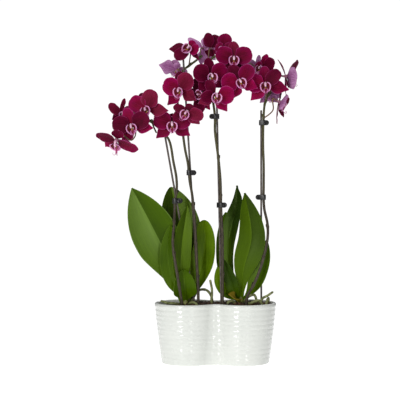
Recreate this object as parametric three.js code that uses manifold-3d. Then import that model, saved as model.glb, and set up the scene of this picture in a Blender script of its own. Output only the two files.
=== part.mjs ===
// Two moth orchids (Phalaenopsis) in one glazed double pot, each with two staked flower stems.
// Millimetres. +Z is up, -Y is the front, and the origin is the middle of the pot's flat base.
import * as THREE from "three";
import { mergeVertices } from "three/addons/utils/BufferGeometryUtils.js";
import Module from "manifold-3d";

const wasm = await Module();
wasm.setup();

// ---------------------------------------------------------------- driving dimensions
const POT = {
  height: 106.5,
  rim: { lobe: 56, centre: 50, waist: 37 }, // lobe radius, its distance off centre, half depth at the waist
  base: { lobe: 46, centre: 48, waist: 30 },
  wall: 4.6,
  floor: 8,
  ridgePitch: 15.2,
  ridgeDepth: 0.9,
};
const GAP = 0.35; // clearance between separate pieces that touch on the real plant
const STAKE_RADIUS = 1.75;
const STEM_RADIUS = { foot: 2.7, tip: 1.9 };
const PEDICEL_RADIUS = 1.4;
const CLIP = { wall: 1.3, height: 9, ear: 4.4, earThickness: 1.4, spread: 0.3, sides: 8 };
const TEPAL_THICKNESS = 0.9;
const LEAF_THICKNESS = 2.2;

const COLOURS = {
  glaze: { color: "#e9ece6", roughness: 0.18, metalness: 0 },
  bark: { color: "#3a281d", roughness: 0.95, metalness: 0 },
  leaf: { color: "#3d5f16", roughness: 0.38, metalness: 0 },
  stem: { color: "#433a30", roughness: 0.6, metalness: 0 },
  stake: { color: "#4a413d", roughness: 0.55, metalness: 0 },
  clip: { color: "#262626", roughness: 0.4, metalness: 0 },
  tepal: { color: "#6f0f3c", roughness: 0.55, metalness: 0 },
  lip: { color: "#c986bd", roughness: 0.5, metalness: 0 },
};

// ---------------------------------------------------------------- helpers
const v = (x, y, z) => new THREE.Vector3(x, y, z);
const vectors = (rows) => rows.map((row) => v(...row));
const curveThrough = (rows) => new THREE.CatmullRomCurve3(vectors(rows), false, "centripetal");
const lerp = THREE.MathUtils.lerp;
const rad = THREE.MathUtils.degToRad;

/** Repeatable draws between 0 and 1. */
function randomFrom(seed) {
  let state = seed;
  return () => {
    state = (state * 1664525 + 1013904223) % 4294967296;
    return state / 4294967296;
  };
}

/** A geometry made of triangles, each three points, with empty ones left out. */
function geometryOf(triangles) {
  const kept = triangles.filter(
    ([a, b, c]) => a.distanceTo(b) > 1e-4 && b.distanceTo(c) > 1e-4 && c.distanceTo(a) > 1e-4,
  );
  return new THREE.BufferGeometry().setFromPoints(kept.flat());
}

/** A closed geometry as a manifold solid, turned right side out if it isn't. */
function solid(geometry) {
  const soup = geometry.index ? geometry.toNonIndexed() : geometry;
  const bare = new THREE.BufferGeometry().setAttribute("position", soup.getAttribute("position"));
  const merged = mergeVertices(bare, 1e-3);
  const vertProperties = Float32Array.from(merged.attributes.position.array);
  const triVerts = Uint32Array.from(merged.index.array);
  const build = () => new wasm.Manifold(new wasm.Mesh({ numProp: 3, vertProperties, triVerts }));
  const made = build();
  if (made.volume() > 0) return made;
  for (let i = 0; i < triVerts.length; i += 3) {
    [triVerts[i + 1], triVerts[i + 2]] = [triVerts[i + 2], triVerts[i + 1]];
  }
  return build();
}

const fuse = (solids) => solids.reduce((all, one) => all.add(one));

/** A named mesh of a solid. */
function meshOf(name, made, finish) {
  const { vertProperties, triVerts } = made.getMesh();
  const geometry = new THREE.BufferGeometry();
  geometry.setAttribute("position", new THREE.BufferAttribute(Float32Array.from(vertProperties), 3));
  geometry.setIndex(new THREE.BufferAttribute(Uint32Array.from(triVerts), 1));
  geometry.computeVertexNormals();
  const mesh = new THREE.Mesh(geometry, new THREE.MeshStandardMaterial(finish));
  mesh.name = name;
  return mesh;
}

/** Rings of points joined into a closed skin, each end closed by a fan round its own centre. */
function loft(rings) {
  const triangles = [];
  rings.slice(1).forEach((ring, k) => {
    const below = rings[k];
    ring.forEach((point, i) => {
      const next = (i + 1) % ring.length;
      triangles.push([below[i], below[next], ring[next]], [below[i], ring[next], point]);
    });
  });
  const centreOf = (ring) =>
    ring.reduce((sum, point) => sum.add(point), v(0, 0, 0)).divideScalar(ring.length);
  const [first, last] = [rings[0], rings.at(-1)];
  const [start, end] = [centreOf(first), centreOf(last)];
  first.forEach((point, i) => triangles.push([start, first[(i + 1) % first.length], point]));
  last.forEach((point, i) => triangles.push([end, point, last[(i + 1) % last.length]]));
  return geometryOf(triangles);
}

/** A round rod along a curve, tapering from one radius to another. */
function rod(curve, fromRadius, toRadius, sides, steps) {
  const frames = curve.computeFrenetFrames(steps, false);
  const rings = Array.from({ length: steps + 1 }, (_, k) => {
    const centre = curve.getPointAt(k / steps);
    const radius = lerp(fromRadius, toRadius, k / steps);
    return Array.from({ length: sides }, (_, i) => {
      const turn = (2 * Math.PI * i) / sides;
      return centre
        .clone()
        .addScaledVector(frames.normals[k], radius * Math.cos(turn))
        .addScaledVector(frames.binormals[k], radius * Math.sin(turn));
    });
  });
  return loft(rings);
}

/**
 * A thin blade along a spine. Each [place, halfWidth] row has a left edge, a midrib and a right edge;
 * the edges stand forward of the midrib by fold times the width.
 */
function blade({ spine, rows, facing, fold, thickness }) {
  const front = [];
  const back = [];
  rows.forEach(([place, halfWidth]) => {
    const centre = spine.getPoint(place);
    const along = spine.getTangent(Math.min(place, 0.999));
    const side = facing.clone().cross(along).normalize();
    const normal = along.clone().cross(side).normalize();
    const row = [1, 0, -1].map((hand) =>
      centre
        .clone()
        .addScaledVector(side, hand * halfWidth)
        .addScaledVector(normal, Math.abs(hand) * fold * halfWidth),
    );
    front.push(row);
    back.push(row.map((point) => point.clone().addScaledVector(normal, -thickness)));
  });
  const triangles = [];
  const wallBetween = (a, b) => {
    triangles.push([front[a[0]][a[1]], back[b[0]][b[1]], back[a[0]][a[1]]]);
    triangles.push([front[a[0]][a[1]], front[b[0]][b[1]], back[b[0]][b[1]]]);
  };
  for (let k = 0; k + 1 < rows.length; k += 1) {
    for (const j of [0, 1]) {
      const [a, b, c, d] = [[k, j], [k + 1, j], [k + 1, j + 1], [k, j + 1]];
      const [p, q] = j ? [[a, b, d], [b, c, d]] : [[a, b, c], [a, c, d]];
      for (const [one, two, three] of [p, q]) {
        const pick = (face, [row, column]) => face[row][column];
        triangles.push([pick(front, one), pick(front, three), pick(front, two)]);
        triangles.push([pick(back, one), pick(back, two), pick(back, three)]);
      }
    }
    wallBetween([k, 0], [k + 1, 0]);
    wallBetween([k + 1, 2], [k, 2]);
  }
  const last = rows.length - 1;
  wallBetween([0, 1], [0, 0]);
  wallBetween([0, 2], [0, 1]);
  wallBetween([last, 0], [last, 1]);
  wallBetween([last, 1], [last, 2]);
  return geometryOf(triangles);
}

// ---------------------------------------------------------------- double pot
const LOBE_STEPS = 6;
const WAIST_STEPS = 3;

/** The outline of two round lobes joined by a hollow fillet, as points at height z, grown outwards. */
function doubleOutline({ lobe, centre, waist }, grow, z) {
  const fillet = (centre ** 2 + waist ** 2 - lobe ** 2) / (2 * (lobe - waist));
  const filletY = waist + fillet;
  const meet = Math.atan2(filletY, -centre);
  const quarter = [];
  for (let i = 0; i < LOBE_STEPS; i += 1) {
    const turn = (meet * i) / LOBE_STEPS;
    const radius = lobe + grow;
    quarter.push([centre + radius * Math.cos(turn), radius * Math.sin(turn)]);
  }
  const from = Math.atan2(-filletY, centre);
  for (let i = 0; i <= WAIST_STEPS; i += 1) {
    const turn = lerp(from, -Math.PI / 2, i / WAIST_STEPS);
    const radius = fillet - grow;
    quarter.push([radius * Math.cos(turn), filletY + radius * Math.sin(turn)]);
  }
  const mirror = (points, sx, sy) => points.map(([x, y]) => [sx * x, sy * y]);
  const inner = quarter.slice(1, -1);
  const outline = [
    ...quarter,
    ...mirror(inner, -1, 1).reverse(),
    ...mirror(quarter, -1, -1),
    ...mirror(inner, 1, -1).reverse(),
  ];
  return outline.map(([x, y]) => v(x, y, z));
}

/** The outline's driving sizes at height z: the wall is steep above and draws in towards the foot. */
function potSizes(z) {
  const share = 1 - (1 - z / POT.height) ** 1.35;
  const size = (key) => lerp(POT.base[key], POT.rim[key], share);
  return { lobe: size("lobe"), centre: size("centre"), waist: size("waist") };
}

function pot() {
  const outside = [];
  const lip = 7;
  for (let k = 0; (k * POT.ridgePitch) / 2 < POT.height - lip; k += 1) {
    const z = (k * POT.ridgePitch) / 2;
    const swell = k % 2 ? 0 : POT.ridgeDepth;
    const footRound = k === 0 ? -1.6 : 0;
    outside.push(doubleOutline(potSizes(z), swell - POT.ridgeDepth + footRound, z));
  }
  const rimRound = [[0, -1.6], [-1.6, 0], [-POT.wall, -1]].map(([grow, drop]) =>
    doubleOutline(POT.rim, grow, POT.height + drop),
  );
  const inside = [POT.height * 0.5, POT.floor].map((z) =>
    doubleOutline(potSizes(z), -POT.wall - POT.ridgeDepth, z),
  );
  return solid(loft([...outside, ...rimRound, ...inside]));
}

// ---------------------------------------------------------------- bark mix
const BARK_TOP = 99;
const CHIPS = 8;

/** Fill of chunky bark: a mounded surface with chips standing out of it. */
function bark() {
  const random = randomFrom(7);
  const inset = -POT.wall - POT.ridgeDepth - GAP;
  const foot = doubleOutline(potSizes(POT.floor + GAP), inset, POT.floor + GAP);
  const middle = doubleOutline(potSizes(POT.height * 0.5), inset, POT.height * 0.5);
  const edge = doubleOutline(potSizes(BARK_TOP), inset, BARK_TOP - 2);
  const mound = [0.7, 0.3].map((share) =>
    edge.map(({ x, y }) => v(x * share, y * share, BARK_TOP + 5 * (1 - share) + 3 * (random() - 0.5))),
  );
  const chips = Array.from({ length: CHIPS }, (_, i) => {
    const lobe = i % 2 ? 1 : -1;
    const [turn, reach] = [random() * 2 * Math.PI, 38 * Math.sqrt(random())];
    const [length, width, height] = [8 + 7 * random(), 5 + 5 * random(), 4 + 3 * random()];
    const chip = new THREE.BoxGeometry(length, width, height);
    chip.rotateX(0.9 * (random() - 0.5));
    chip.rotateY(0.9 * (random() - 0.5));
    chip.rotateZ(2 * Math.PI * random());
    const across = lobe * 49 + reach * Math.cos(turn);
    chip.translate(across, 0.95 * reach * Math.sin(turn), BARK_TOP + 2.2);
    return solid(chip);
  });
  return fuse([solid(loft([foot, middle, edge, ...mound])), ...chips]);
}

// ---------------------------------------------------------------- stakes, clips and flower stems
/** A stake runs straight from foot to top; along(z) is its centre at height z. */
function stake([foot, top]) {
  const line = new THREE.LineCurve3(v(...foot), v(...top));
  const along = (z) => line.getPoint((z - foot[2]) / (top[2] - foot[2]));
  return { line, along };
}

const STAKES = {
  1: stake([[-22, -4, 25], [-89, -12, 404]]),
  2: stake([[-24, -8, 25], [-56, -12, 530]]),
  3: stake([[12, -15, 25], [2, -27, 458]]),
  4: stake([[81, 6, 25], [79.5, -8, 441.5]]),
};

/** A clip round stake and stem at height z: towards is the side of the stake that the stem is on. */
const CLIPS = [
  { stake: 1, z: 285, towards: [-0.6, -0.8], ears: [1, -0.3], stemRadius: 2.4 },
  { stake: 2, z: 334, towards: [-0.7, -0.8], ears: [1, -0.5], stemRadius: 2.2 },
  { stake: 3, z: 278, towards: [0.7, -0.7], ears: [1, -0.25], stemRadius: 2.4 },
  { stake: 3, z: 431.5, towards: [-0.9, -0.3], ears: [-1, -0.3], stemRadius: 2 },
  { stake: 4, z: 291, towards: [1, -0.4], ears: [-1, -0.3], stemRadius: 2.3 },
  { stake: 4, z: 421, towards: [1, -0.3], ears: [1, -0.4], stemRadius: 2 },
];

function heldStem({ stake: which, z, towards, stemRadius }) {
  const side = v(...towards, 0).normalize();
  return STAKES[which].along(z).addScaledVector(side, STAKE_RADIUS + GAP + stemRadius);
}

/** A spring clip: an oblong band that holds stake and stem together, with a pair of round finger ears. */
function clip(spot) {
  const { z, towards, ears, stemRadius } = spot;
  const side = v(...towards, 0).normalize();
  const apart = STAKE_RADIUS + GAP + stemRadius;
  const inner = (stemRadius + 2 * GAP) / Math.cos(Math.PI / CLIP.sides);
  const oblong = (path, radius) =>
    path
      .absarc(apart, 0, radius, -Math.PI / 2, Math.PI / 2)
      .absarc(0, 0, radius, Math.PI / 2, 1.5 * Math.PI);
  const ring = oblong(new THREE.Shape(), inner + CLIP.wall);
  ring.holes.push(oblong(new THREE.Path(), inner));
  const drawn = { depth: CLIP.height, bevelEnabled: false, curveSegments: CLIP.sides / 4 };
  const band = new THREE.ExtrudeGeometry(ring, drawn).rotateZ(Math.atan2(side.y, side.x));
  const onStake = STAKES[spot.stake].along(z);
  band.translate(onStake.x, onStake.y, z - CLIP.height / 2);
  const centre = onStake.addScaledVector(side, apart / 2);
  const out = Math.atan2(ears[1], ears[0]);
  const discs = [-CLIP.spread, CLIP.spread].map((spread) => {
    const disc = new THREE.CylinderGeometry(CLIP.ear, CLIP.ear, CLIP.earThickness, 5).rotateZ(out + spread);
    const way = v(Math.cos(out + spread), Math.sin(out + spread), 0);
    const reach = inner + (apart / 2) * Math.abs(way.dot(side)) + CLIP.ear + GAP;
    return solid(disc.translate(centre.x + reach * way.x, centre.y + reach * way.y, z));
  });
  return fuse([solid(band), ...discs]);
}

const held = CLIPS.map((spot) => heldStem(spot).toArray());

/** Flower stems from the bark, past the clips, to the arching end of the spray. */
const STEMS = {
  1: [
    [-57, -27, 88], [-59, -31, 111], [-66, -34, 157], [-74, -33, 211], [-72, -24, 245],
    [-71, -14.6, 268], held[0], [-67.6, -14.4, 303], [-68, -18, 325], [-73, -18, 352],
    [-81, -19.5, 391], [-95, -16.5, 408], [-113, -8, 423], [-130, -9, 433], [-146, -16, 438],
    [-158, -22, 437],
  ],
  2: [
    [-31, -14, 88], [-30, -15, 117], [-33, -17, 187], [-37, -18, 260], [-41, -18, 298],
    [-44.7, -14.6, 318], held[1], [-48, -14, 350], [-53, -14, 375], [-58, -10, 410], [-66, -5, 456],
    [-66, 0, 490], [-57, 4, 512], [-46, 7, 521], [-34, 8, 530], [-24, 8, 538],
  ],
  3: [
    [12, -25, 88], [12, -26, 120], [12, -28, 180], [11.5, -29, 230], [10, -26, 260], held[2],
    [9, -26.5, 298], [8, -32, 325], [4, -33, 365], [-1, -30, 405], held[3], [-5, -23, 460],
    [-12, -12, 490], [-16, -4, 515], [-6, -2, 533], [12, -2, 541], [32, -2, 541], [50, -2, 532],
  ],
  4: [
    [53, -22, 88], [55, -24, 118], [66, -29, 140], [78, -31, 170], [90, -25, 218], [90.5, -15, 245],
    [85.5, -5.6, 270], held[4], [84.2, -5.4, 312], [84, -8, 350], [83, -9, 380], held[5],
    [86, -10, 455], [91, -10, 468], [96, -7, 474],
  ],
};

// ---------------------------------------------------------------- blooms
/**
 * Each bloom: its heart, the way it faces (yaw 0 is the front, + to the right; pitch + is up), its roll
 * (+ is anticlockwise seen from its face), its width, and where on the stem (0 to 1) its stalk starts.
 * differs gives, for single sepals and petals, the extra turn, the shares of the usual length and width,
 * and how far the tip stands forward of its usual place. via gives places that the stalk passes.
 */
const BLOOMS = {
  1: [
    {
      heart: [-168.2, -88, 390.4], yaw: -22, pitch: -52, roll: -6, width: 68, stalk: 0.88,
      differs: { upper: [22, 0.75, 1, 0], rightPetal: [52, 1.15, 0.8, 0], leftPetal: [6, 1, 0.75, 0] },
      via: [[-138, -50, 394], [-143, -70, 387]],
    },
    {
      heart: [-143.6, -68, 414.9], yaw: -5, pitch: -5, roll: 18, width: 64, stalk: 0.985,
      differs: { rightSide: [-20, 1.1, 1, 0], rightPetal: [6, 1, 0.95, 0], leftPetal: [8, 1, 0.95, 0] },
    },
    {
      heart: [-118.2, -50, 443.2], yaw: -20, pitch: 5, roll: 25, width: 64, stalk: 0.9,
      differs: { rightSide: [-13, 1.15, 1, 0], rightPetal: [-29, 1.05, 1, 0], leftPetal: [30, 1.05, 0.95, 0] },
    },
    {
      heart: [-74.9, -42, 419.2], yaw: 0, pitch: -5, roll: 2, width: 64, stalk: 0.8,
      differs: { upper: [0, 0.55, 0.8, 0], rightSide: [-4, 1.1, 1, 0], leftSide: [2, 1.1, 1, 0] },
    },
    {
      heart: [-165.7, -8, 435.3], yaw: 35, pitch: 5, roll: -14, width: 58, stalk: 0.88,
      differs: { upper: [8, 1.1, 0.5, 0], leftSide: [0, 0.6, 0.7, 0], leftPetal: [0, 1, 0.62, 0] },
      via: [[-140, 14, 438], [-160, 16, 438]],
    },
  ],
  2: [
    {
      heart: [-48.2, -64, 438.2], yaw: -20, pitch: -5, roll: -25, width: 60, stalk: 0.72,
      differs: {
        upper: [0, 0.5, 0.9, 0],
        rightSide: [-20, 0.9, 1, 0],
        rightPetal: [8, 1, 0.75, 0],
        leftPetal: [-18, 0.85, 0.5, 0],
      },
      via: [[-58, -42, 446]],
    },
    {
      heart: [-60.8, -42, 477.6], yaw: -25, pitch: -5, roll: 6, width: 64, stalk: 0.8,
      differs: { leftSide: [4, 1.12, 1, 0], rightPetal: [-22, 1, 1, 0], leftPetal: [8, 1, 1, 0] },
    },
    {
      heart: [-25.3, -36, 469.1], yaw: -45, pitch: 0, roll: 82, width: 60, stalk: 0.84,
      differs: { leftPetal: [-21, 1.1, 1, 0] },
    },
    {
      heart: [-68.3, 10, 514.5], yaw: -160, pitch: 5, roll: 0, width: 56, stalk: 0.86, away: true,
      differs: {
        upper: [0, 0.45, 0.8, 0],
        rightSide: [-57, 1.15, 1.25, 0],
        rightPetal: [-52, 0.6, 0.7, 0],
        leftPetal: [-48, 0.8, 0.8, 0],
      },
    },
    {
      heart: [-45.3, -16, 550.4], yaw: -10, pitch: 10, roll: -41, width: 60, stalk: 0.94,
      differs: {
        upper: [0, 0.5, 0.9, 6],
        rightSide: [-31, 0.85, 0.45, 0],
        leftSide: [0, 1.15, 1, 0],
        rightPetal: [0, 0.6, 0.7, 5],
        leftPetal: [-98, 1, 0.75, 0],
      },
    },
    {
      heart: [-20.8, 50, 554.9], yaw: 160, pitch: 10, roll: 0, width: 58, stalk: 0.99, away: true,
      differs: { upper: [-30, 0.8, 1, 0], rightSide: [35, 1, 1, 0], rightPetal: [-12, 1.12, 0.42, 0] },
    },
  ],
  3: [
    {
      heart: [-0.5, -92, 466.8], yaw: 15, pitch: -8, roll: -12, width: 62, stalk: 0.76,
      differs: {
        upper: [-46, 0.95, 0.85, 0],
        rightSide: [0, 1.1, 1, 0],
        rightPetal: [7, 1, 1, 0],
        leftPetal: [-45, 0.85, 0.7, 0],
      },
    },
    { heart: [-9.8, -74, 499.9], yaw: 22, pitch: 0, roll: 5, width: 62, stalk: 0.83 },
    {
      heart: [40.5, -69, 491], yaw: 5, pitch: 0, roll: 24, width: 62, stalk: 0.97,
      differs: { upper: [-8, 1, 1.25, 0], rightPetal: [-8, 1, 0.85, 0] },
    },
    { heart: [31.2, -46, 530.3], yaw: 0, pitch: 3, roll: 0, width: 62, stalk: 0.92 },
    {
      heart: [-8.5, 14, 551.5], yaw: 170, pitch: 15, roll: 0, width: 56, stalk: 0.86,
      differs: {
        upper: [8, 1.05, 1.05, 0],
        rightSide: [33, 0.5, 0.9, 0],
        leftSide: [-33, 0.5, 0.9, 0],
        rightPetal: [-52, 0.8, 0.7, 0],
        leftPetal: [46, 0.9, 0.7, 0],
      },
    },
    {
      heart: [13.7, -24, 547.2], yaw: -5, pitch: 12, roll: -3, width: 56, stalk: 0.94,
      differs: {
        upper: [0, 1.1, 1.4, 0],
        rightSide: [0, 0.6, 0.9, 0],
        leftSide: [0, 0.6, 0.9, 0],
        rightPetal: [0, 0.6, 0.7, 0],
        leftPetal: [0, 0.5, 0.7, 0],
      },
    },
    {
      heart: [74.1, 34, 516.7], yaw: -160, pitch: 10, roll: 0, width: 52, stalk: 0.99, away: true,
      differs: { upper: [0, 1, 0.6, 0] },
      via: [[58, 16, 528]],
    },
  ],
  4: [
    {
      heart: [85.4, -52, 485.6], yaw: -5, pitch: 0, roll: 4, width: 64, stalk: 0.96,
      differs: {
        rightSide: [-26, 1.2, 1, 0],
        leftSide: [0, 1.1, 1, 0],
        rightPetal: [-22, 1, 0.75, 0],
        leftPetal: [-8, 1, 1, 0],
      },
    },
    {
      heart: [81.8, -14, 515], yaw: -45, pitch: 15, roll: 0, width: 56, stalk: 0.98,
      differs: { leftPetal: [0, 0.6, 0.7, 0] },
    },
    {
      heart: [123.4, -16, 501], yaw: 84, pitch: -5, roll: 0, width: 64, stalk: 0.995,
      differs: {
        upper: [0, 0.9, 1.2, -14],
        rightSide: [10, 0.7, 0.6, 8],
        leftSide: [-15, 1.15, 1.1, 6],
        rightPetal: [-40, 1, 1, 14],
        leftPetal: [-28, 0.85, 1.2, 18],
      },
    },
    {
      heart: [111.6, -26, 456.5], yaw: 78, pitch: -25, roll: 0, width: 58, stalk: 0.88,
      differs: {
        upper: [0, 0.8, 1.3, -10],
        rightSide: [12, 0.9, 0.9, 20],
        leftSide: [-30, 1.25, 0.9, 18],
        rightPetal: [0, 0.7, 0.7, 10],
        leftPetal: [-8, 0.85, 1, 13],
      },
      via: [[94, -12, 436], [100, -18, 444]],
    },
    { heart: [95.7, 24, 470.5], yaw: 170, pitch: -20, roll: 0, width: 42, stalk: 0.94, away: true },
  ],
};
const MODEL_WIDTH = 66; // the width that the bloom's own measures below are for

/** The frame of a bloom: +X its right, +Y its upper sepal, +Z the way it faces. */
function bloomFrame({ heart, yaw, pitch, roll, width }) {
  const facing = v(
    Math.sin(rad(yaw)) * Math.cos(rad(pitch)),
    -Math.cos(rad(yaw)) * Math.cos(rad(pitch)),
    Math.sin(rad(pitch)),
  );
  const right = v(0, 0, 1).cross(facing).normalize();
  const up = facing.clone().cross(right);
  const frame = new THREE.Matrix4().makeBasis(right, up, facing);
  frame.multiply(new THREE.Matrix4().makeRotationZ(rad(roll)));
  frame.scale(v(1, 1, 1).multiplyScalar(width / MODEL_WIDTH));
  return frame.setPosition(v(...heart));
}

/** One sepal or petal growing from the heart: turn is its angle from straight up, in degrees. */
function tepal({ turn, length, halfWidth, rows, lift, sweep }, [more, longer, wider, forward]) {
  const out = v(Math.sin(rad(turn + more)), Math.cos(rad(turn + more)), 0);
  const point = (reach, height) => out.clone().multiplyScalar(reach * length * longer).setZ(lift + height);
  const spine = new THREE.QuadraticBezierCurve3(
    point(0.06 / longer, 0),
    point(0.55, sweep * 0.9 + forward * 0.35),
    point(1, sweep + forward),
  );
  const widths = rows.map(([place, share]) => [place, share * halfWidth * wider]);
  return solid(blade({ spine, rows: widths, facing: v(0, 0, 1), fold: 0.09, thickness: TEPAL_THICKNESS }));
}

const UPPER = { length: 32, halfWidth: 10.5, rows: [[0, 0], [0.36, 0.94], [0.74, 0.88], [1, 0]] };
const SIDE = { length: 35, halfWidth: 12, rows: [[0, 0], [0.4, 0.96], [0.7, 0.68], [1, 0]] };
const PETAL = { length: 34, halfWidth: 16.5, rows: [[0, 0], [0.27, 0.78], [0.6, 1], [0.87, 0.7], [1, 0]] };
const TEPALS = {
  upper: { turn: 0, ...UPPER, lift: -1.9, sweep: -1.2 },
  rightSide: { turn: 132, ...SIDE, lift: -1.9, sweep: -1.2 },
  leftSide: { turn: -132, ...SIDE, lift: -1.9, sweep: -1.2 },
  rightPetal: { turn: 72, ...PETAL, lift: 0.9, sweep: 2 },
  leftPetal: { turn: -72, ...PETAL, lift: 0.9, sweep: 2 },
};

/** The flower's core, from the end of its stalk to the lip, and the bend of the stalk behind it. */
const SEAT = { back: -5.9, front: 2.2, backRadius: 2.6, frontRadius: 4.6, bend: -16 };

/** Three sepals behind, two broad petals in front, on the end of the flower's stalk. */
function tepals(frame, differs = {}) {
  const blades = Object.entries(TEPALS).map(([key, form]) => tepal(form, differs[key] ?? [0, 1, 1, 0]));
  const seat = new THREE.CylinderGeometry(SEAT.frontRadius, SEAT.backRadius, SEAT.front - SEAT.back, 4)
    .rotateX(Math.PI / 2)
    .translate(0, 0, (SEAT.front + SEAT.back) / 2);
  return fuse([...blades, solid(seat)]).transform(frame.elements);
}

/** The lip: side lobes that stand up as a ring, a short tongue below them, and the column inside. */
function lip(frame) {
  const root = SEAT.front + GAP;
  const lobe = (hand) => {
    const spine = new THREE.CubicBezierCurve3(
      v(hand * 0.9, -1, root + 1.6),
      v(hand * 6, -16, root + 5),
      v(hand * 16, -6, root + 9),
      v(hand * 8, 4, root + 9),
    );
    const rows = [[0, 0], [0.5, 3.2], [1, 1.6]];
    return solid(blade({ spine, rows, facing: v(-hand, 0.3, 0.9), fold: 0.1, thickness: 0.9 }));
  };
  const middle = blade({
    spine: new THREE.QuadraticBezierCurve3(
      v(0, -1.4, root + 1.9),
      v(0, -12, root + 4),
      v(0, -15.6, root + 14),
    ),
    rows: [[0, 0], [0.6, 3.6], [1, 1.4]],
    facing: v(0, 1, 0.4),
    fold: 0.35,
    thickness: 0.9,
  });
  const column = rod(new THREE.LineCurve3(v(0, 0, root + 0.5), v(0, -1.4, root + 8.4)), 2.8, 2.1, 4, 1);
  return fuse([solid(column), lobe(1), lobe(-1), solid(middle)]).transform(frame.elements);
}

/** A bloom that faces away, in one piece: its lip is joined to the core by a short neck. */
function wholeBloom(frame, differs) {
  const neck = new THREE.CylinderGeometry(2, 2, 2.4, 4).rotateX(Math.PI / 2);
  neck.translate(0, 0, SEAT.front + 0.6);
  return fuse([tepals(frame, differs), lip(frame), solid(neck).transform(frame.elements)]);
}

// ---------------------------------------------------------------- flower stem with its stalks
/** The hole that a stem's foot stands in. */
function stemFoot([foot, next]) {
  const line = new THREE.LineCurve3(v(...foot).setZ(foot[2] - GAP), v(...next));
  return solid(rod(line, STEM_RADIUS.foot + 4 * GAP, STEM_RADIUS.foot + 4 * GAP, 5, 1));
}

function sprayStem(which) {
  const curve = curveThrough(STEMS[which]);
  const { foot, tip } = STEM_RADIUS;
  const rings = Math.round(STEMS[which].length * 1.4);
  const parts = [solid(rod(curve, foot, tip, 5, rings))];
  for (const bloom of BLOOMS[which]) {
    const frame = bloomFrame(bloom);
    const back = v(0, 0, SEAT.back).applyMatrix4(frame);
    const behind = v(0, 0, SEAT.bend).applyMatrix4(frame);
    const facing = back.clone().sub(behind).normalize();
    const way = [curve.getPointAt(bloom.stalk), behind, back.addScaledVector(facing, -GAP)];
    if (bloom.via) way.splice(1, 0, ...vectors(bloom.via));
    const path = new THREE.CatmullRomCurve3(way, false, "centripetal");
    parts.push(solid(rod(path, PEDICEL_RADIUS, PEDICEL_RADIUS, 3, way.length)));
  }
  return fuse(parts);
}

// ---------------------------------------------------------------- leaves and roots
const LEAF_ROWS = [[0, 0], [0.18, 0.36], [0.42, 0.94], [0.68, 0.97], [0.88, 0.62], [1, 0]];

/** Each leaf: its midrib from the crown to the tip, half its width, and the way its upper face looks. */
const PLANTS = {
  left: {
    crown: [-52, 2],
    leaves: [
      {
        spine: [[-55, 4, 109], [-74, 6, 155], [-92, 1.5, 200], [-114, -2, 245], [-146, -7, 307]],
        halfWidth: 38, facing: [-0.25, -1, 0.3],
      },
      {
        spine: [[-52, 8, 109], [-56, 24, 170], [-63, 36, 240], [-79, 42, 308]],
        halfWidth: 36, facing: [0.15, -1, 0.2],
      },
      {
        spine: [[-52, -3, 109], [-60, -11, 150], [-58, -17, 210], [-49, -17, 277]],
        halfWidth: 16, facing: [0.2, -1, 0.1],
      },
      {
        spine: [[-57, -2, 109], [-74, -7, 140], [-83, -12, 190], [-78, -14, 243]],
        halfWidth: 14, facing: [-0.3, -1, 0.1],
      },
      {
        spine: [[-47, 6, 109], [-35, 13, 135], [-22, 18, 180], [-18, 18, 215], [-20, 15, 250]],
        halfWidth: 20, facing: [-0.1, -1, 0.2],
      },
      { spine: [[-52, -4, 109], [-53, -15, 128], [-56, -20, 165]], halfWidth: 20, facing: [0, -1, 0.3] },
      {
        spine: [[-49, 8, 109], [-41, 17, 135], [-40, 19, 165], [-43, 18, 203]],
        halfWidth: 10, facing: [0.2, -1, 0.2],
      },
    ],
    roots: [
      [[-54, -2, 100], [-68, -22, 106], [-84, -24, 108], [-94, -14, 110]],
      [[-46, 2, 100], [-30, 10, 126], [-16, 10, 127], [-7, 6, 116], [-5, 2, 92]],
      [[-5, 2, 92], [-7, -3, 108], [-6, -6, 128], [-9, -7, 145]],
      [[-50, -2, 98], [-42, -20, 108], [-34, -26, 107], [-28, -26, 94]],
    ],
  },
  right: {
    crown: [44, 2],
    leaves: [
      {
        spine: [[44, -2, 109], [50, -11, 165], [62, -15, 222], [51, -22, 299]],
        halfWidth: 24, facing: [0.1, -1, 0.15],
      },
      {
        spine: [[48, -1, 109], [66, -8, 135], [81, -12, 175], [89, -14, 216]],
        halfWidth: 15, facing: [-0.3, -1, 0.1],
      },
      {
        spine: [[42, 6, 109], [26, 12, 155], [20, 16, 205], [28, 19, 245], [40, 21, 282], [38, 22, 311]],
        halfWidth: 12, facing: [-0.5, -1, 0.1],
      },
      {
        spine: [[40, 4, 109], [22, 20, 150], [16, 32, 205], [22, 40, 263]],
        halfWidth: 13, facing: [-0.2, -1, 0.1],
      },
      {
        spine: [[40, 0, 109], [22, -4, 120], [8, -7, 140], [4, -6, 169]],
        halfWidth: 9, facing: [-0.2, -1, 0.2],
      },
      {
        spine: [[41, -3, 109], [33, -12, 126], [25, -15, 150], [13, -14, 182]],
        halfWidth: 7, facing: [-0.2, -1, 0.2],
      },
      { spine: [[43, -4, 108], [36, -20, 116], [24, -27, 124]], halfWidth: 10, facing: [-0.2, -0.6, 0.8] },
    ],
    roots: [
      [[48, -2, 100], [56, -10, 116], [68, -8, 120], [74, -6, 92]],
      [[46, -2, 100], [62, -24, 108], [76, -26, 112], [86, -18, 92]],
      [[74, -6, 92], [82, -10, 114], [91, -10, 119], [100, -8, 125]],
      [[86, -18, 92], [90, -12, 110], [93, -4, 114], [92, 4, 96]],
      [[42, -2, 98], [28, -14, 110], [22, -16, 108], [20, -14, 92]],
    ],
  },
};
const ROOT_RADIUS = 2.7;
const CROWN = { radius: 8, foot: 70, top: 118 };

const rootRod = (points, grow = 0) =>
  solid(rod(curveThrough(points), ROOT_RADIUS + grow, ROOT_RADIUS * 0.7 + grow, 3, 4));

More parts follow.
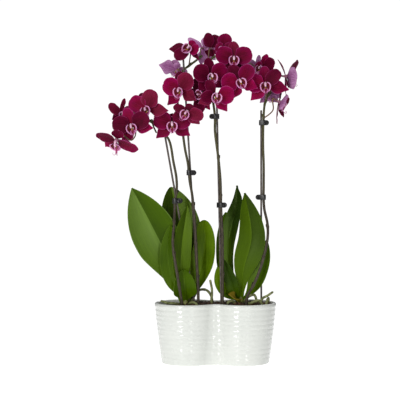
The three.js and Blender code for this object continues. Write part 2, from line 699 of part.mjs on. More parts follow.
function crown([x, y], grow = 0) {
  const { radius, foot, top } = CROWN;
  const post = new THREE.CylinderGeometry(radius * 0.8 + grow, radius + grow, top - foot, 6);
  return solid(post.rotateX(Math.PI / 2).translate(x, y, (top + foot) / 2));
}

/** A short crown with its two ranks of thick, channelled leaves and the aerial roots. */
function plant({ crown: place, leaves, roots }) {
  const blades = leaves.map(({ spine, halfWidth, facing }) =>
    solid(
      blade({
        spine: curveThrough(spine),
        rows: LEAF_ROWS.map(([at, share]) => [at, share * halfWidth]),
        facing: v(...facing),
        fold: 0.3,
        thickness: LEAF_THICKNESS,
      }),
    ),
  );
  return fuse([crown(place), ...blades, ...roots.map((points) => rootRod(points))]);
}

// ---------------------------------------------------------------- assembly
const orchid = new THREE.Group();
const add = (name, made, finish) => orchid.add(meshOf(name, made, finish));

add("pot", pot(), COLOURS.glaze);
const sunkIn = [
  ...Object.values(PLANTS).flatMap(({ crown: place, roots }) => [
    crown(place, GAP),
    ...roots.map((points) => rootRod(points, GAP)),
  ]),
  ...Object.values(STAKES).map(({ line }) =>
    solid(rod(line, STAKE_RADIUS + GAP, STAKE_RADIUS + GAP, 6, 1)),
  ),
  ...Object.values(STEMS).map((points) => stemFoot(points)),
];
add("bark_mix", bark().subtract(fuse(sunkIn)), COLOURS.bark);
for (const [side, parts] of Object.entries(PLANTS)) add(`leaves_${side}`, plant(parts), COLOURS.leaf);
for (const [which, { line }] of Object.entries(STAKES)) {
  add(`stake_${which}`, solid(rod(line, STAKE_RADIUS, STAKE_RADIUS, 6, 1)), COLOURS.stake);
}
CLIPS.forEach((spot, i) => add(`clip_${i + 1}`, clip(spot), COLOURS.clip));
for (const [which, blooms] of Object.entries(BLOOMS)) {
  add(`spray${which}_stem`, sprayStem(which), COLOURS.stem);
  blooms.forEach((bloom, i) => {
    const frame = bloomFrame(bloom);
    const name = `spray${which}_bloom${i + 1}`;
    if (bloom.away) {
      add(name, wholeBloom(frame, bloom.differs), COLOURS.tepal);
      return;
    }
    add(`${name}_tepals`, tepals(frame, bloom.differs), COLOURS.tepal);
    add(`${name}_lip`, lip(frame), COLOURS.lip);
  });
}

export default orchid;
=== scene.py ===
"""Two burgundy moth orchids in a white glazed double pot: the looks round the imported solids.

Sizes and places are in millimetres, as in the part's source, and MM turns them into metres.
"""

import math

import bpy
import numpy as np
from mathutils import Matrix, Vector


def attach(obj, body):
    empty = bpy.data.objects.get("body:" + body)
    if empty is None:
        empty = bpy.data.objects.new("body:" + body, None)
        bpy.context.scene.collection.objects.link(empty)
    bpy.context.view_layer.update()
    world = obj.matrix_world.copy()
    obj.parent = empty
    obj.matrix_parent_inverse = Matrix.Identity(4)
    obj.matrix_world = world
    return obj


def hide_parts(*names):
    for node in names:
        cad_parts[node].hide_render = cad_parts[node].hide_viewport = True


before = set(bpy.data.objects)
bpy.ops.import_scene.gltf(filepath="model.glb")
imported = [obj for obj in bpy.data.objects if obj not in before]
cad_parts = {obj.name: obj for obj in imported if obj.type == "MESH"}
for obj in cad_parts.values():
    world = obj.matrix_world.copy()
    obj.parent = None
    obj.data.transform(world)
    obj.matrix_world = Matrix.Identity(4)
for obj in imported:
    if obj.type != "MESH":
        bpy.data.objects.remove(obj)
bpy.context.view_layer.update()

MM = 0.001
GAP = 0.35
ROUND = 2 * math.pi
SHARP_ANGLE = 52

# The photo's camera: a pixel is in millimetres at the middle of the pot, the focal length in pixels, and the
# camera looks down by some degrees.
CAMERA = {"place": (-27, -2600, 372), "aim": (-27, 0, 286), "lens": 133.7, "sensor": 36}
PHOTO = {"middle": 200, "pixel": 1.75, "focal": 1485.6, "down": 1.894}

POT = {"height": 106.5, "wall": 4.6, "floor": 8, "shoulder": 9, "ridge_depth": 0.28, "ridge_pitch": 8.4}
RIM = {"lobe": 56, "centre": 50, "waist": 37}
BASE = {"lobe": 46, "centre": 48, "waist": 30}
BARK_TOP = 99
STAKE_RADIUS = 1.75
STEM_RADIUS = (2.7, 1.9)
STALK_RADIUS = 1.15
ROOT_RADIUS = 2.7
LEAF_THICKNESS = 2.0
CLIP = {"wall": 1.3, "height": 9, "ear": 4.4, "spread": 0.3}
MODEL_WIDTH = 66
SEAT = {"back": -5.9, "front": 2.2, "bend": -16}
LIP_ROOT = SEAT["front"] + GAP
LIP_RING = {"drop": -4.5, "radius": 10.3, "depth": 7.2}
LIP_MIDDLE = (0, LIP_RING["drop"], 9.5)

STAKES = {
    1: ((-22, -4, 25), (-89, -12, 404)),
    2: ((-24, -8, 25), (-56, -12, 530)),
    3: ((12, -15, 25), (2, -27, 458)),
    4: ((81, 6, 25), (79.5, -8, 441.5)),
}
CLIPS = [
    dict(stake=1, z=285, towards=(-0.6, -0.8), ears=(1, -0.3), stem_radius=2.4),
    dict(stake=2, z=334, towards=(-0.7, -0.8), ears=(1, -0.5), stem_radius=2.2),
    dict(stake=3, z=278, towards=(0.7, -0.7), ears=(1, -0.25), stem_radius=2.4),
    dict(stake=3, z=431.5, towards=(-0.9, -0.3), ears=(-1, -0.3), stem_radius=2),
    dict(stake=4, z=291, towards=(1, -0.4), ears=(-1, -0.3), stem_radius=2.3),
    dict(stake=4, z=421, towards=(1, -0.3), ears=(1, -0.4), stem_radius=2),
]


# ---- curves
def lerp(a, b, share):
    return a + (b - a) * share


def smooth(x, low, high):
    """0 below low, 1 above high, and a soft step between."""
    t = np.clip((x - low) / (high - low), 0, 1)
    return t * t * (3 - 2 * t)


def hump(x, middle, width):
    """A soft bump that is 1 at the middle."""
    return np.exp(-(((x - middle) / width) ** 2))


def curve_through(points, samples):
    """A centripetal curve through the points, with the same number of samples for each stretch."""
    p = np.array(points, float)
    p = np.vstack([2 * p[0] - p[1], p, 2 * p[-1] - p[-2]])
    step = np.diff(p, axis=0)
    gap = np.sqrt(np.linalg.norm(step, axis=1))
    t = np.linspace(0, 1, samples, endpoint=False)[:, None]
    shares = np.hstack([2 * t**3 - 3 * t**2 + 1, t**3 - 2 * t**2 + t, 3 * t**2 - 2 * t**3, t**3 - t**2])
    rows = []
    for k in range(1, len(p) - 2):
        before, here, after = gap[k - 1], gap[k], gap[k + 1]
        start = step[k - 1] / before - (p[k + 1] - p[k - 1]) / (before + here) + step[k] / here
        end = step[k] / here - (p[k + 2] - p[k]) / (here + after) + step[k + 1] / after
        rows.append(shares @ np.array([p[k], start * here, p[k + 1], end * here]))
    return np.vstack(rows + [p[-2][None]])


def bezier(points, t):
    """A Bezier curve of any degree at the shares t."""
    p = np.array(points, float)
    n = len(p) - 1
    t = np.asarray(t, float)[:, None]
    return sum(math.comb(n, k) * (1 - t) ** (n - k) * t**k * p[k] for k in range(n + 1))


def reach_along(line):
    """How far each point lies along the line."""
    return np.concatenate([[0], np.cumsum(np.linalg.norm(np.diff(line, axis=0), axis=1))])


def resample(line, count):
    """The line again with evenly spaced points."""
    reach = reach_along(line)
    want = np.linspace(0, reach[-1], count)
    return np.stack([np.interp(want, reach, line[:, i]) for i in range(3)], axis=1)


def unit(rows):
    return rows / np.maximum(np.linalg.norm(rows, axis=-1, keepdims=True), 1e-9)


def tangents(line):
    return unit(np.gradient(line, axis=0))


# ---- skins
class Skin:
    """Points, faces, texture places and material slots of one piece, in millimetres."""

    def __init__(self):
        self.points, self.faces, self.places, self.slots = [], [], [], []
        self.count = 0

    def add(self, points, faces, places, slot=0):
        """Adds a patch; slot is one material slot or one for each face."""
        self.points.append(np.asarray(points, float).reshape(-1, 3))
        self.places.append(np.asarray(places, float).reshape(-1, 2))
        self.faces += [tuple(i + self.count for i in face) for face in faces]
        self.slots += slot if isinstance(slot, list) else [slot] * len(faces)
        self.count += len(self.points[-1])

    def add_rings(self, rings, places=None, slot=0, span=20, flip=False):
        """Adds a closed form of stacked rings; without places its texture lies on it from above."""
        points = np.vstack(rings)
        faces = capped_faces(len(rings), len(rings[0]), flip)
        self.add(points, faces, points[:, :2] / span if places is None else places, slot)

    def piece(self, name, materials, nodes, slot, frame_matrix=None):
        """Makes the object, stands it for its nodes and lets it ride on the one body."""
        points = np.vstack(self.points)
        if frame_matrix is not None:
            points = points @ frame_matrix[:3, :3].T + frame_matrix[:3, 3]
        mesh = bpy.data.meshes.new(name)
        mesh.from_pydata((points * MM).tolist(), [], self.faces)
        corners = np.empty(len(mesh.loops), int)
        mesh.loops.foreach_get("vertex_index", corners)
        layer = mesh.uv_layers.new(name="UVMap")
        layer.data.foreach_set("uv", np.vstack(self.places)[corners].ravel())
        mesh.polygons.foreach_set("material_index", self.slots)
        mesh.polygons.foreach_set("use_smooth", [True] * len(mesh.polygons))
        for material in materials:
            mesh.materials.append(material)
        mesh.set_sharp_from_angle(angle=math.radians(SHARP_ANGLE))
        mesh.update()
        made = bpy.data.objects.new(name, mesh)
        bpy.context.scene.collection.objects.link(made)
        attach(made, "root")
        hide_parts(*nodes)
        return made


def grid_faces(rows, columns, start=0, flip=False, around=False, closed=False):
    """Quads of a grid of points; around joins the last column to the first, and closed the last row."""
    faces = []
    for i in range(rows if closed else rows - 1):
        here, there = i * columns, (i + 1) % rows * columns
        for j in range(columns if around else columns - 1):
            k = (j + 1) % columns
            quad = (here + j, here + k, there + k, there + j)
            faces.append(tuple(start + q for q in (reversed(quad) if flip else quad)))
    return faces


def capped_faces(rows, sides, flip=False):
    """Quads round a stack of rings, and a flat face at each end."""
    faces = grid_faces(rows, sides, around=True)
    faces.append(tuple(reversed(range(sides))))
    faces.append(tuple((rows - 1) * sides + i for i in range(sides)))
    return [tuple(reversed(face)) for face in faces] if flip else faces


def circle(sides):
    """The turns of evenly spaced points round a circle."""
    return np.linspace(0, ROUND, sides, endpoint=False)


def ring_round(turns, one, other):
    """Points on the unit circle of two directions."""
    return np.cos(turns)[:, None] * one + np.sin(turns)[:, None] * other


def blade_rim(rows, columns):
    """The numbers of the points round the edge of a grid, in order."""
    ring = [i * columns for i in range(rows)]
    ring += [(rows - 1) * columns + j for j in range(1, columns)]
    ring += [i * columns + columns - 1 for i in range(rows - 2, -1, -1)]
    return ring + list(range(columns - 2, 0, -1))


def add_blade(skin, front, thickness, slots=(0, 0), edge=None):
    """A thin closed blade; front is a grid of points from foot to tip, whose paint the edge shares."""
    rows, columns = front.shape[:2]
    normal = unit(np.cross(unit(np.gradient(front, axis=0)), unit(np.gradient(front, axis=1))))
    back = front - normal * np.broadcast_to(thickness, (rows, columns))[..., None]
    t, s = np.meshgrid(np.linspace(0, 1, rows), np.linspace(0, 1, columns), indexing="ij")
    places = np.stack([s, t], axis=-1).reshape(-1, 2)
    size = rows * columns
    faces = grid_faces(rows, columns, flip=True) + grid_faces(rows, columns, start=size)
    slot = [side for side in slots for _ in range(len(faces) // 2)]
    ring = blade_rim(rows, columns)
    for a, b in zip(ring, ring[1:] + ring[:1]):
        faces.append((b, a, a + size, b + size))
        slot.append(slots[0] if edge is None else edge)
    points = np.concatenate([front.reshape(-1, 3), back.reshape(-1, 3)])
    skin.add(points, faces, np.concatenate([places, places]), slot)


DOME = np.array([0.0, 0.5, 0.85])


def add_tube(skin, line, radii, sides=10, slot=0):
    """A round tube along a line, with domed ends."""
    radii = np.broadcast_to(np.asarray(radii, float), len(line))
    way = tangents(line)
    step_in = (1 - DOME)[:, None] * 0.9
    first = line[0] - way[0] * radii[0] * step_in
    last = line[-1] + way[-1] * radii[-1] * step_in[::-1]
    shrink = np.sqrt(np.maximum(1 - (1 - DOME) ** 2, 0.02))
    radii = np.concatenate([radii[0] * shrink, radii[1:-1], radii[-1] * shrink[::-1]])
    line = np.vstack([first, line[1:-1], last])
    way = tangents(line)
    side = np.cross(way[0], (0.31, 0.95, 0.07))
    rings = []
    for centre, forward, radius in zip(line, way, radii):
        side = side - forward * side.dot(forward)
        side = side / np.linalg.norm(side)
        rings.append(centre + radius * ring_round(circle(sides), side, np.cross(forward, side)))
    places = [(i / sides, along / 10) for along in reach_along(line) for i in range(sides)]
    skin.add_rings(rings, places, slot)


def add_post(skin, spot, radii, sides, slot):
    """An upright round post whose radii are given for its heights."""
    add_tube(skin, np.array([(*spot, z) for z in radii], float), list(radii.values()), sides, slot)


def blade_front(spine, facing, wide, rise):
    """The front grid of a blade: from its spine it goes wide to the side and rises towards its face."""
    along = tangents(spine)
    side = unit(np.cross(facing, along))
    normal = np.cross(along, side)
    return spine[:, None, :] + side[:, None, :] * wide[..., None] + normal[:, None, :] * rise[..., None]


# ---- materials
def linear(value):
    """A screen value, 0 to 255, as the shader's linear value."""
    share = value / 255
    return share / 12.92 if share <= 0.04045 else ((share + 0.055) / 1.055) ** 2.4


def rgb(*screen):
    return tuple(linear(value) for value in screen)


class Nodes:
    """A short way to write a node material: calls make a node and link or set its inputs."""

    def __init__(self, name):
        self.material = bpy.data.materials.new(name)
        self.material.use_nodes = True
        self.tree = self.material.node_tree
        self.shader = self.tree.nodes["Principled BSDF"]

    def feed(self, socket, value):
        """Links a node's output to the socket or sets its value; a colour may come without its alpha."""
        if isinstance(value, bpy.types.NodeSocket):
            self.tree.links.new(value, socket)
        elif socket.type == "RGBA":
            socket.default_value = (*value, 1)
        else:
            socket.default_value = value

    def node(self, kind, output=0, **inputs):
        """A new node's output; each keyword names an input, one by its number, or a setting of the node."""
        made = self.tree.nodes.new(kind)
        for key, value in inputs.items():
            if key in made.inputs:
                self.feed(made.inputs[key], value)
            elif key.startswith("in") and key[2:].isdigit():
                self.feed(made.inputs[int(key[2:])], value)
            else:
                setattr(made, key, value)
        return made.outputs[output]

    def math(self, operation, a, b=0.0):
        return self.node("ShaderNodeMath", operation=operation, in0=a, in1=b)

    def plus(self, a, b):
        return self.math("ADD", a, b)

    def times(self, a, b):
        return self.math("MULTIPLY", a, b)

    def off_middle(self, across):
        """How far a share across lies from the midrib."""
        return self.math("ABSOLUTE", self.math("SUBTRACT", across, 0.5))

    def ramp(self, factor, *stops):
        """A colour for each factor, from stops of a place and a colour."""
        made = self.tree.nodes.new("ShaderNodeValToRGB")
        self.feed(made.inputs[0], factor)
        elements = made.color_ramp.elements
        while len(elements) < len(stops):
            elements.new(0.5)
        for element, (place, colour) in zip(elements, stops):
            element.position = place
            element.color = (*colour, 1)
        return made.outputs[0]

    def greys(self, factor, *stops):
        """A value for each factor, from stops of a place and a value."""
        return self.ramp(factor, *((place, (value,) * 3) for place, value in stops))

    def blend(self, factor, a, b, share=1):
        """Colour b over colour a by the factor, or by a share of it."""
        factor = self.times(factor, share) if share < 1 else factor
        return self.node("ShaderNodeMix", output=2, data_type="RGBA", in0=factor, in6=a, in7=b)

    def noise(self, vector, scale, detail=3.0, rough=0.55):
        return self.node("ShaderNodeTexNoise", Vector=vector, Scale=scale, Detail=detail, Roughness=rough)

    def stretched(self, vector, scale):
        return self.node("ShaderNodeMapping", Vector=vector, Scale=scale)

    def split(self, vector):
        """The three parts of a vector."""
        return self.node("ShaderNodeSeparateXYZ", output=slice(3), Vector=vector)

    def uv(self):
        return self.node("ShaderNodeTexCoord", output="UV")

    def object(self):
        return self.node("ShaderNodeTexCoord", output="Object")

    def bump(self, height, strength, distance):
        normal = self.node("ShaderNodeBump", Height=height, Strength=strength, Distance=distance)
        self.feed(self.shader.inputs["Normal"], normal)

    def finish(self, colour, roughness, **settings):
        """Feeds the shader's colour, roughness and other sockets, and gives the material."""
        self.feed(self.shader.inputs["Base Color"], colour)
        self.feed(self.shader.inputs["Roughness"], roughness)
        for key, value in settings.items():
            self.feed(self.shader.inputs[key.replace("_", " ")], value)
        return self.material


def glaze():
    """White glaze, a little cloudy, with a clear coat whose lights the thrown rings break into beads."""
    n = Nodes("white_glaze")
    place = n.object()
    colour = n.ramp(n.noise(place, 22, 4), (0.3, (0.58, 0.60, 0.565)), (0.7, (0.615, 0.632, 0.595)))
    rough = n.greys(n.noise(place, 60), (0.35, 0.22), (0.75, 0.32))
    n.bump(n.noise(n.stretched(place, (1, 1, 3)), 45, 2), 0.12, 0.0012)
    turn_per_metre = ROUND / (POT["ridge_pitch"] * MM)
    drift = n.times(n.noise(place, 9, 1), 3.0)
    rings = n.math("SINE", n.plus(n.times(n.split(place)[2], turn_per_metre), drift))
    beads = n.node("ShaderNodeBump", Height=rings, Strength=1.0, Distance=0.00037)
    return n.finish(colour, rough, Coat_Weight=0.6, Coat_Roughness=0.04, IOR=1.5, Coat_Normal=beads)


def bark_matter(name, dark, light):
    n = Nodes(name)
    grain = n.noise(n.stretched(n.object(), (1, 1, 2.2)), 210, 6, 0.65)
    n.bump(grain, 0.8, 0.0015)
    return n.finish(n.ramp(grain, (0.3, dark), (0.72, light)), 0.9)


FRESH_GREEN = rgb(82, 110, 0)


def leaf_face(name, deep, mid, bright, sheen, lit=0):
    """Waxy leaf: fine veins, a paler midrib and edges that are a painted highlight, a fresher foot and,
    unless lit is 0, one half painted as in the light and the other with painted shade by the midrib.
    """
    n = Nodes(name)
    uv = n.uv()
    across, along, _ = n.split(uv)
    veins = n.noise(n.stretched(uv, (46, 1.4, 1)), 1.0, 2)
    patches = n.noise(n.object(), 14, 2)
    colour = n.ramp(n.plus(n.times(veins, 0.45), n.times(patches, 0.55)), (0.3, deep), (0.6, mid))
    # painted light: the half towards lit gets the bright colour, more of it up the leaf, and painted shade
    # darkens the other half by the midrib
    if lit:
        towards = n.plus(n.times(n.math("SUBTRACT", across, 0.5), math.copysign(1.0, lit)), 0.5)
        light = n.greys(towards, (0.49, 0), (0.52, 1), (1.0, 0.35))
        upwards = n.greys(along, (0.15, 0.25), (0.6, 1))
        colour = n.blend(n.times(light, upwards), colour, bright, 0.48 * abs(lit))
        colour = n.blend(n.greys(towards, (0.0, 0.1), (0.485, 1), (0.5, 0)), colour, deep, 0.55)
    off_rib = n.off_middle(across)
    colour = n.blend(n.greys(along, (0.02, 1), (0.5, 0)), colour, FRESH_GREEN, 0.6)
    # painted highlights: the bright colour along the midrib and round the edges
    colour = n.blend(n.greys(off_rib, (0.0, 1), (0.016, 0)), colour, bright, 0.4)
    colour = n.blend(n.greys(off_rib, (0.475, 0), (0.5, 1)), colour, bright, 0.4)
    rough = n.greys(patches, (0.3, sheen), (0.7, sheen + 0.16))
    n.bump(veins, 0.2, 0.0005)
    return n.finish(colour, rough, Specular_IOR_Level=0.22, Specular_Tint=(0.7, 1, 0.3))


def petal_face(name, dark, mid, edge, rim_colour, sheen):
    """Velvet petal: veins that fan out from the foot, painted shade towards the foot, and a brighter border
    and a thin pale rim that are painted highlights.
    """
    n = Nodes(name)
    uv = n.uv()
    across, along, _ = n.split(uv)
    veins = n.noise(n.stretched(uv, (34, 2.2, 1)), 1.0, 3, 0.6)
    blotch = n.noise(n.object(), 60)
    colour = n.ramp(n.plus(n.times(veins, 0.6), n.times(blotch, 0.4)), (0.4, dark), (0.6, mid))
    # painted shade: darker towards the foot of the tepal
    colour = n.blend(n.greys(along, (0.1, 1), (0.6, 0)), colour, dark, 0.6)
    off_rib = n.off_middle(across)
    # painted highlights: a brighter border, then a thin pale rim, round the sides and the tip
    for first, last, share, paint in ((0.2, 0.5, 0.6, edge), (0.47, 0.5, 0.65, rim_colour)):
        sides = n.greys(off_rib, (first, 0), (last, 1))
        end = n.greys(along, (1.6 * first + 0.2, 0), (1.0, 1))
        colour = n.blend(n.math("MAXIMUM", sides, end), colour, paint, share)
    colour = n.blend(n.greys(off_rib, (0.0, 1), (0.03, 0)), colour, edge, 0.22)
    n.bump(veins, 0.3, 0.0005)
    velvet = {"Sheen_Weight": sheen, "Sheen_Roughness": 0.5, "Sheen_Tint": (0.8, 0.04, 0.4)}
    return n.finish(colour, 0.55, Specular_IOR_Level=0.05, **velvet)


def lip_face(name, heart, rim_colour, low, high, lobed):
    """Waxy lip lobe: a dark heart with fine streaks and a pale brim that starts at a share of the width."""
    n = Nodes(name)
    uv = n.uv()
    streaks = n.noise(n.stretched(uv, (1.2, 30, 1)), 1.0, 2)
    across = n.split(uv)[0]
    outwards = across if lobed else n.times(n.off_middle(across), 2.0)
    brim = n.greys(n.plus(outwards, n.times(streaks, 0.12)), (low, 0), (high, 1))
    specks = n.greys(n.noise(n.object(), 900, 2), (0.56, 0), (0.66, 1))
    colour = n.blend(brim, n.blend(specks, heart, rgb(214, 120, 60), 0.35), rim_colour)
    return n.finish(colour, 0.38, Specular_IOR_Level=0.4, Subsurface_Weight=0.1, Subsurface_Scale=0.002)


def plain_flesh(name, low, high, scale, roughness):
    """Small fleshy or coated part with mottling."""
    n = Nodes(name)
    spots = n.noise(n.object(), scale, 4)
    n.bump(spots, 0.25, 0.0004)
    return n.finish(n.ramp(spots, (0.35, low), (0.68, high)), roughness)


def stem_skin():
    """Flower stem: brown below, olive towards the blooms, with fine streaks."""
    n = Nodes("flower_stem")
    place = n.object()
    streaks = n.noise(n.stretched(place, (1, 1, 0.12)), 900)
    brown = n.ramp(streaks, (0.35, (0.022, 0.017, 0.012)), (0.7, (0.075, 0.058, 0.036)))
    olive = n.ramp(streaks, (0.35, (0.04, 0.042, 0.012)), (0.7, (0.12, 0.12, 0.035)))
    upwards = n.greys(n.times(n.split(place)[2], 1.8), (0.5, 0), (0.9, 1))
    n.bump(streaks, 0.3, 0.0004)
    return n.finish(n.blend(upwards, brown, olive), 0.5, Specular_IOR_Level=0.22)


# ---- camera, floor and light, in metres
FLOOR_RADIUS = 1.1
LIGHT_AIM = (0, 0, 0.3)
# for each light: its place, the sides of its rectangle, and its power in watts
LIGHTS = {
    "key_box": ((-1.4, -2.5, 1.2), (0.9, 0.9), 40),
    "fill_box": ((2.3, -1.2, 1.0), (0.6, 1.4), 1.5),
    "window_left": ((-1.0, -2.3, 0.24), (0.16, 0.46), 9),
    "window_right": ((0.7, -2.45, 0.24), (0.12, 0.4), 10),
    "top_box": ((0.2, 0.3, 2.4), (1.4, 1.4), 12),
    "back_box": ((0.6, 2.4, 1.5), (1.4, 1.2), 8),
}
WHITE = (1, 1, 1)
WORLD_LIGHT = 0.25
WORLD_SEEN = 1.05


def stand(name, data, place, aim):
    """A camera or a light at a place, turned towards its aim."""
    made = bpy.data.objects.new(name, data)
    made.location = place
    made.rotation_euler = (Vector(aim) - Vector(place)).to_track_quat("-Z", "Y").to_euler()
    bpy.context.scene.collection.objects.link(made)
    return made


def make_camera():
    data = bpy.data.cameras.new("camera")
    data.lens = CAMERA["lens"]
    data.sensor_width = CAMERA["sensor"]
    place, aim = ([c * MM for c in CAMERA[key]] for key in ("place", "aim"))
    bpy.context.scene.camera = stand("camera", data, place, aim)


def make_floor():
    """A pale round floor that glows a little, so that it is as bright as the backdrop."""
    ring = [(FLOOR_RADIUS * math.cos(turn), FLOOR_RADIUS * math.sin(turn), 0) for turn in circle(64)]
    mesh = bpy.data.meshes.new("floor")
    mesh.from_pydata(ring, [], [tuple(range(len(ring)))])
    floor = bpy.data.objects.new("floor", mesh)
    bpy.context.scene.collection.objects.link(floor)
    n = Nodes("pale_floor")
    shade = n.greys(n.noise(n.object(), 1.5, 2), (0.3, 0.8), (0.7, 0.83))
    mesh.materials.append(n.finish(shade, 0.9, Emission_Color=WHITE, Emission_Strength=0.62))


def make_world():
    """A weak white light from all round, in front of a backdrop that the camera sees as bright white."""
    world = bpy.data.worlds.new("studio")
    bpy.context.scene.world = world
    world.use_nodes = True
    tree = world.node_tree
    mix = tree.nodes.new("ShaderNodeMixShader")
    path = tree.nodes.new("ShaderNodeLightPath")
    tree.links.new(path.outputs["Is Camera Ray"], mix.inputs[0])
    for node, strength, end in (
        (tree.nodes["Background"], WORLD_LIGHT, 1),
        (tree.nodes.new("ShaderNodeBackground"), WORLD_SEEN, 2),
    ):
        node.inputs["Color"].default_value = (*WHITE, 1)
        node.inputs["Strength"].default_value = strength
        tree.links.new(node.outputs[0], mix.inputs[end])
    tree.links.new(mix.outputs[0], tree.nodes["World Output"].inputs["Surface"])


def make_lights():
    for name, (place, size, power) in LIGHTS.items():
        data = bpy.data.lights.new(name, "AREA")
        data.shape = "RECTANGLE"
        data.size, data.size_y = size
        data.energy = power
        stand(name, data, place, LIGHT_AIM)


def set_stage():
    bpy.context.scene.view_settings.view_transform = "Standard"
    make_camera()
    make_floor()
    make_world()
    make_lights()


# ---- double pot
LOBE_STEPS = 26
WAIST_STEPS = 12


def sizes_of(shape):
    return tuple(shape[key] for key in ("lobe", "centre", "waist"))


def double_outline(sizes, grow, z):
    """Two round lobes joined by a hollow fillet, as a ring of points at height z, grown outwards."""
    lobe, centre, waist = sizes
    fillet = (centre**2 + waist**2 - lobe**2) / (2 * (lobe - waist))
    fillet_y = waist + fillet
    turn = np.linspace(0, math.atan2(fillet_y, -centre), LOBE_STEPS, endpoint=False)
    x, y = np.cos(turn), np.sin(turn)
    outer = np.stack([centre + lobe * x, lobe * y, x, y], axis=1)
    turn = np.linspace(math.atan2(-fillet_y, centre), -math.pi / 2, WAIST_STEPS + 1)
    x, y = np.cos(turn), np.sin(turn)
    hollow = np.stack([fillet * x, fillet_y + fillet * y, -x, -y], axis=1)
    quarter = np.vstack([outer, hollow])
    inner = quarter[1:-1]
    signs = np.array([(1, 1), (-1, 1), (-1, -1), (1, -1)])
    parts = [quarter, inner[::-1], quarter, inner[::-1]]
    ring = np.vstack([part * np.tile(sign, 2) for part, sign in zip(parts, signs)])
    spot = ring[:, :2] + np.reshape(grow, (-1, 1)) * ring[:, 2:]
    return np.column_stack([spot, np.full(len(ring), z)])


def pot_sizes(z):
    """The sizes of the pot's outline at height z: it widens fast at the foot and slowly above."""
    share = 1 - (1 - z / POT["height"]) ** 1.35
    return tuple(lerp(base, rim, share) for base, rim in zip(sizes_of(BASE), sizes_of(RIM)))


def thrown_ring(z):
    """One ring of the wall, on a groove or on a ridge; both rise, sink and fade a little round the pot."""
    ring = double_outline(pot_sizes(z), 0, z)
    turn = np.arctan2(ring[:, 1], ring[:, 0])
    lift = z - 1 + 1.1 * np.sin(turn + 0.045 * z) + 0.7 * np.sin(3 * turn + 0.11 * z)
    swell = (0.5 + 0.5 * np.cos(ROUND * lift / POT["ridge_pitch"])) ** 0.5
    uneven = 0.75 + 0.25 * np.sin(2 * turn + 0.13 * z)
    round_foot = 1.6 * math.exp(-z / 1.4)
    return double_outline(pot_sizes(z), POT["ridge_depth"] * uneven * (swell - 1) - round_foot, z)


# how far the rolled lip stands out from the rim's outline, and how far it lies below the top
LIP_ROLL = [(-0.5, 7.6), (0.2, 6.4), (0.5, 4.6), (0.5, 2.8), (0, 1.2), (-0.9, 0.3), (-2.2, 0)]
LIP_ROLL += [(-3.4, 0.2), (-4.3, 1.2), (-4.6, 2.8), (-4.7, 7)]


def make_pot():
    """The glazed wall with shallow thrown grooves, a rolled lip and a plain floor inside."""
    height, floor, inset = POT["height"], POT["floor"], -POT["wall"] - POT["ridge_depth"]
    rings = [double_outline(pot_sizes(0), grow, z) for grow, z in ((-6, 1.2), (-5, 0), (-3, 0))]
    rings += [thrown_ring(z) for z in np.linspace(0.8, height - POT["shoulder"], 150)]
    rings += [double_outline(sizes_of(RIM), grow, height - drop) for grow, drop in LIP_ROLL]
    rings += [double_outline(pot_sizes(z), inset, z) for z in (80, 55, 30, 12)]
    rings.append(double_outline(pot_sizes(floor), inset - 3, floor))
    sides = len(rings[0])
    places = [(i / sides * 6, k / 10) for k in range(len(rings)) for i in range(sides)]
    skin = Skin()
    skin.add_rings(rings, places)
    skin.piece("pot_glazed", [glaze()], ["pot"], "glaze")


# ---- bark mix
CHIPS = 520
CHIP_SIZES = ((6, 15), (4.5, 9), (3, 6.5))
BARK_PAINT = {
    "bark_dark": ((22, 15, 11), (70, 50, 38)),
    "bark_mid": ((34, 22, 15), (104, 76, 55)),
    "bark_red": ((40, 24, 15), (124, 88, 60)),
}


def add_chip(skin, rng, centre, size, slot):
    """One broken chip of bark: a knobbly block with five to seven uneven corners round it."""
    sides = rng.integers(5, 8)
    rng.uniform(size=sides)  # draws passed over, so that the heap stays as it was checked
    turn = circle(sides) + rng.uniform(-0.25, 0.25, sides)
    outline = np.stack([np.cos(turn), np.sin(turn)], axis=1) * size[:2] / 2
    rings = []
    for share, grow in ((-0.5, 0.72), (-0.34, 1.0), (0.3, 0.96), (0.5, 0.66)):
        reach = grow * rng.uniform(0.84, 1.1, sides)
        rings.append(np.column_stack([outline * reach[:, None], np.full(sides, size[2] * share)]))
    tilt = Matrix.Rotation(rng.uniform(0, ROUND), 3, "Z")
    for axis in "XY":
        tilt = tilt @ Matrix.Rotation(rng.uniform(-0.6, 0.6), 3, axis)
    skin.add_rings([ring @ np.array(tilt).T + centre for ring in rings], slot=slot)


def add_bark_bed(skin, rng):
    """The dark mound that fills the pot under the chips."""
    inset = -POT["wall"] - POT["ridge_depth"] - GAP
    low = POT["floor"] + GAP
    rings = [
        double_outline(pot_sizes(z), inset - tuck, z) for z, tuck in ((low, 3), (30, 0), (60, 0), (94, 0.3))
    ]
    edge = double_outline(pot_sizes(BARK_TOP), inset, 95)
    for share in (0.9, 0.7, 0.5, 0.3, 0.12):
        ring = edge * (share, share, 1)
        ring[:, 2] = 95.5 + 6 * (1 - share) + rng.uniform(-1, 1, len(ring))
        rings.append(ring)
    skin.add_rings(rings)


def chip_spot(rng):
    """A random place on the mound, in a lobe or now and then in the waist."""
    lobe = rng.choice((-1, 1))
    turn, reach = rng.uniform(0, ROUND), 46.5 * math.sqrt(rng.uniform())
    x, y = lobe * 49.5 + reach * math.cos(turn), reach * math.sin(turn)
    if rng.uniform() < 0.12:
        x, y = rng.uniform(-14, 14), rng.uniform(-24, 24)
    return x, y, 96.4 + 2.6 * (1 - (reach / 47) ** 2) + 5 * smooth(x, -75, -50) * smooth(abs(y), 34, 8)


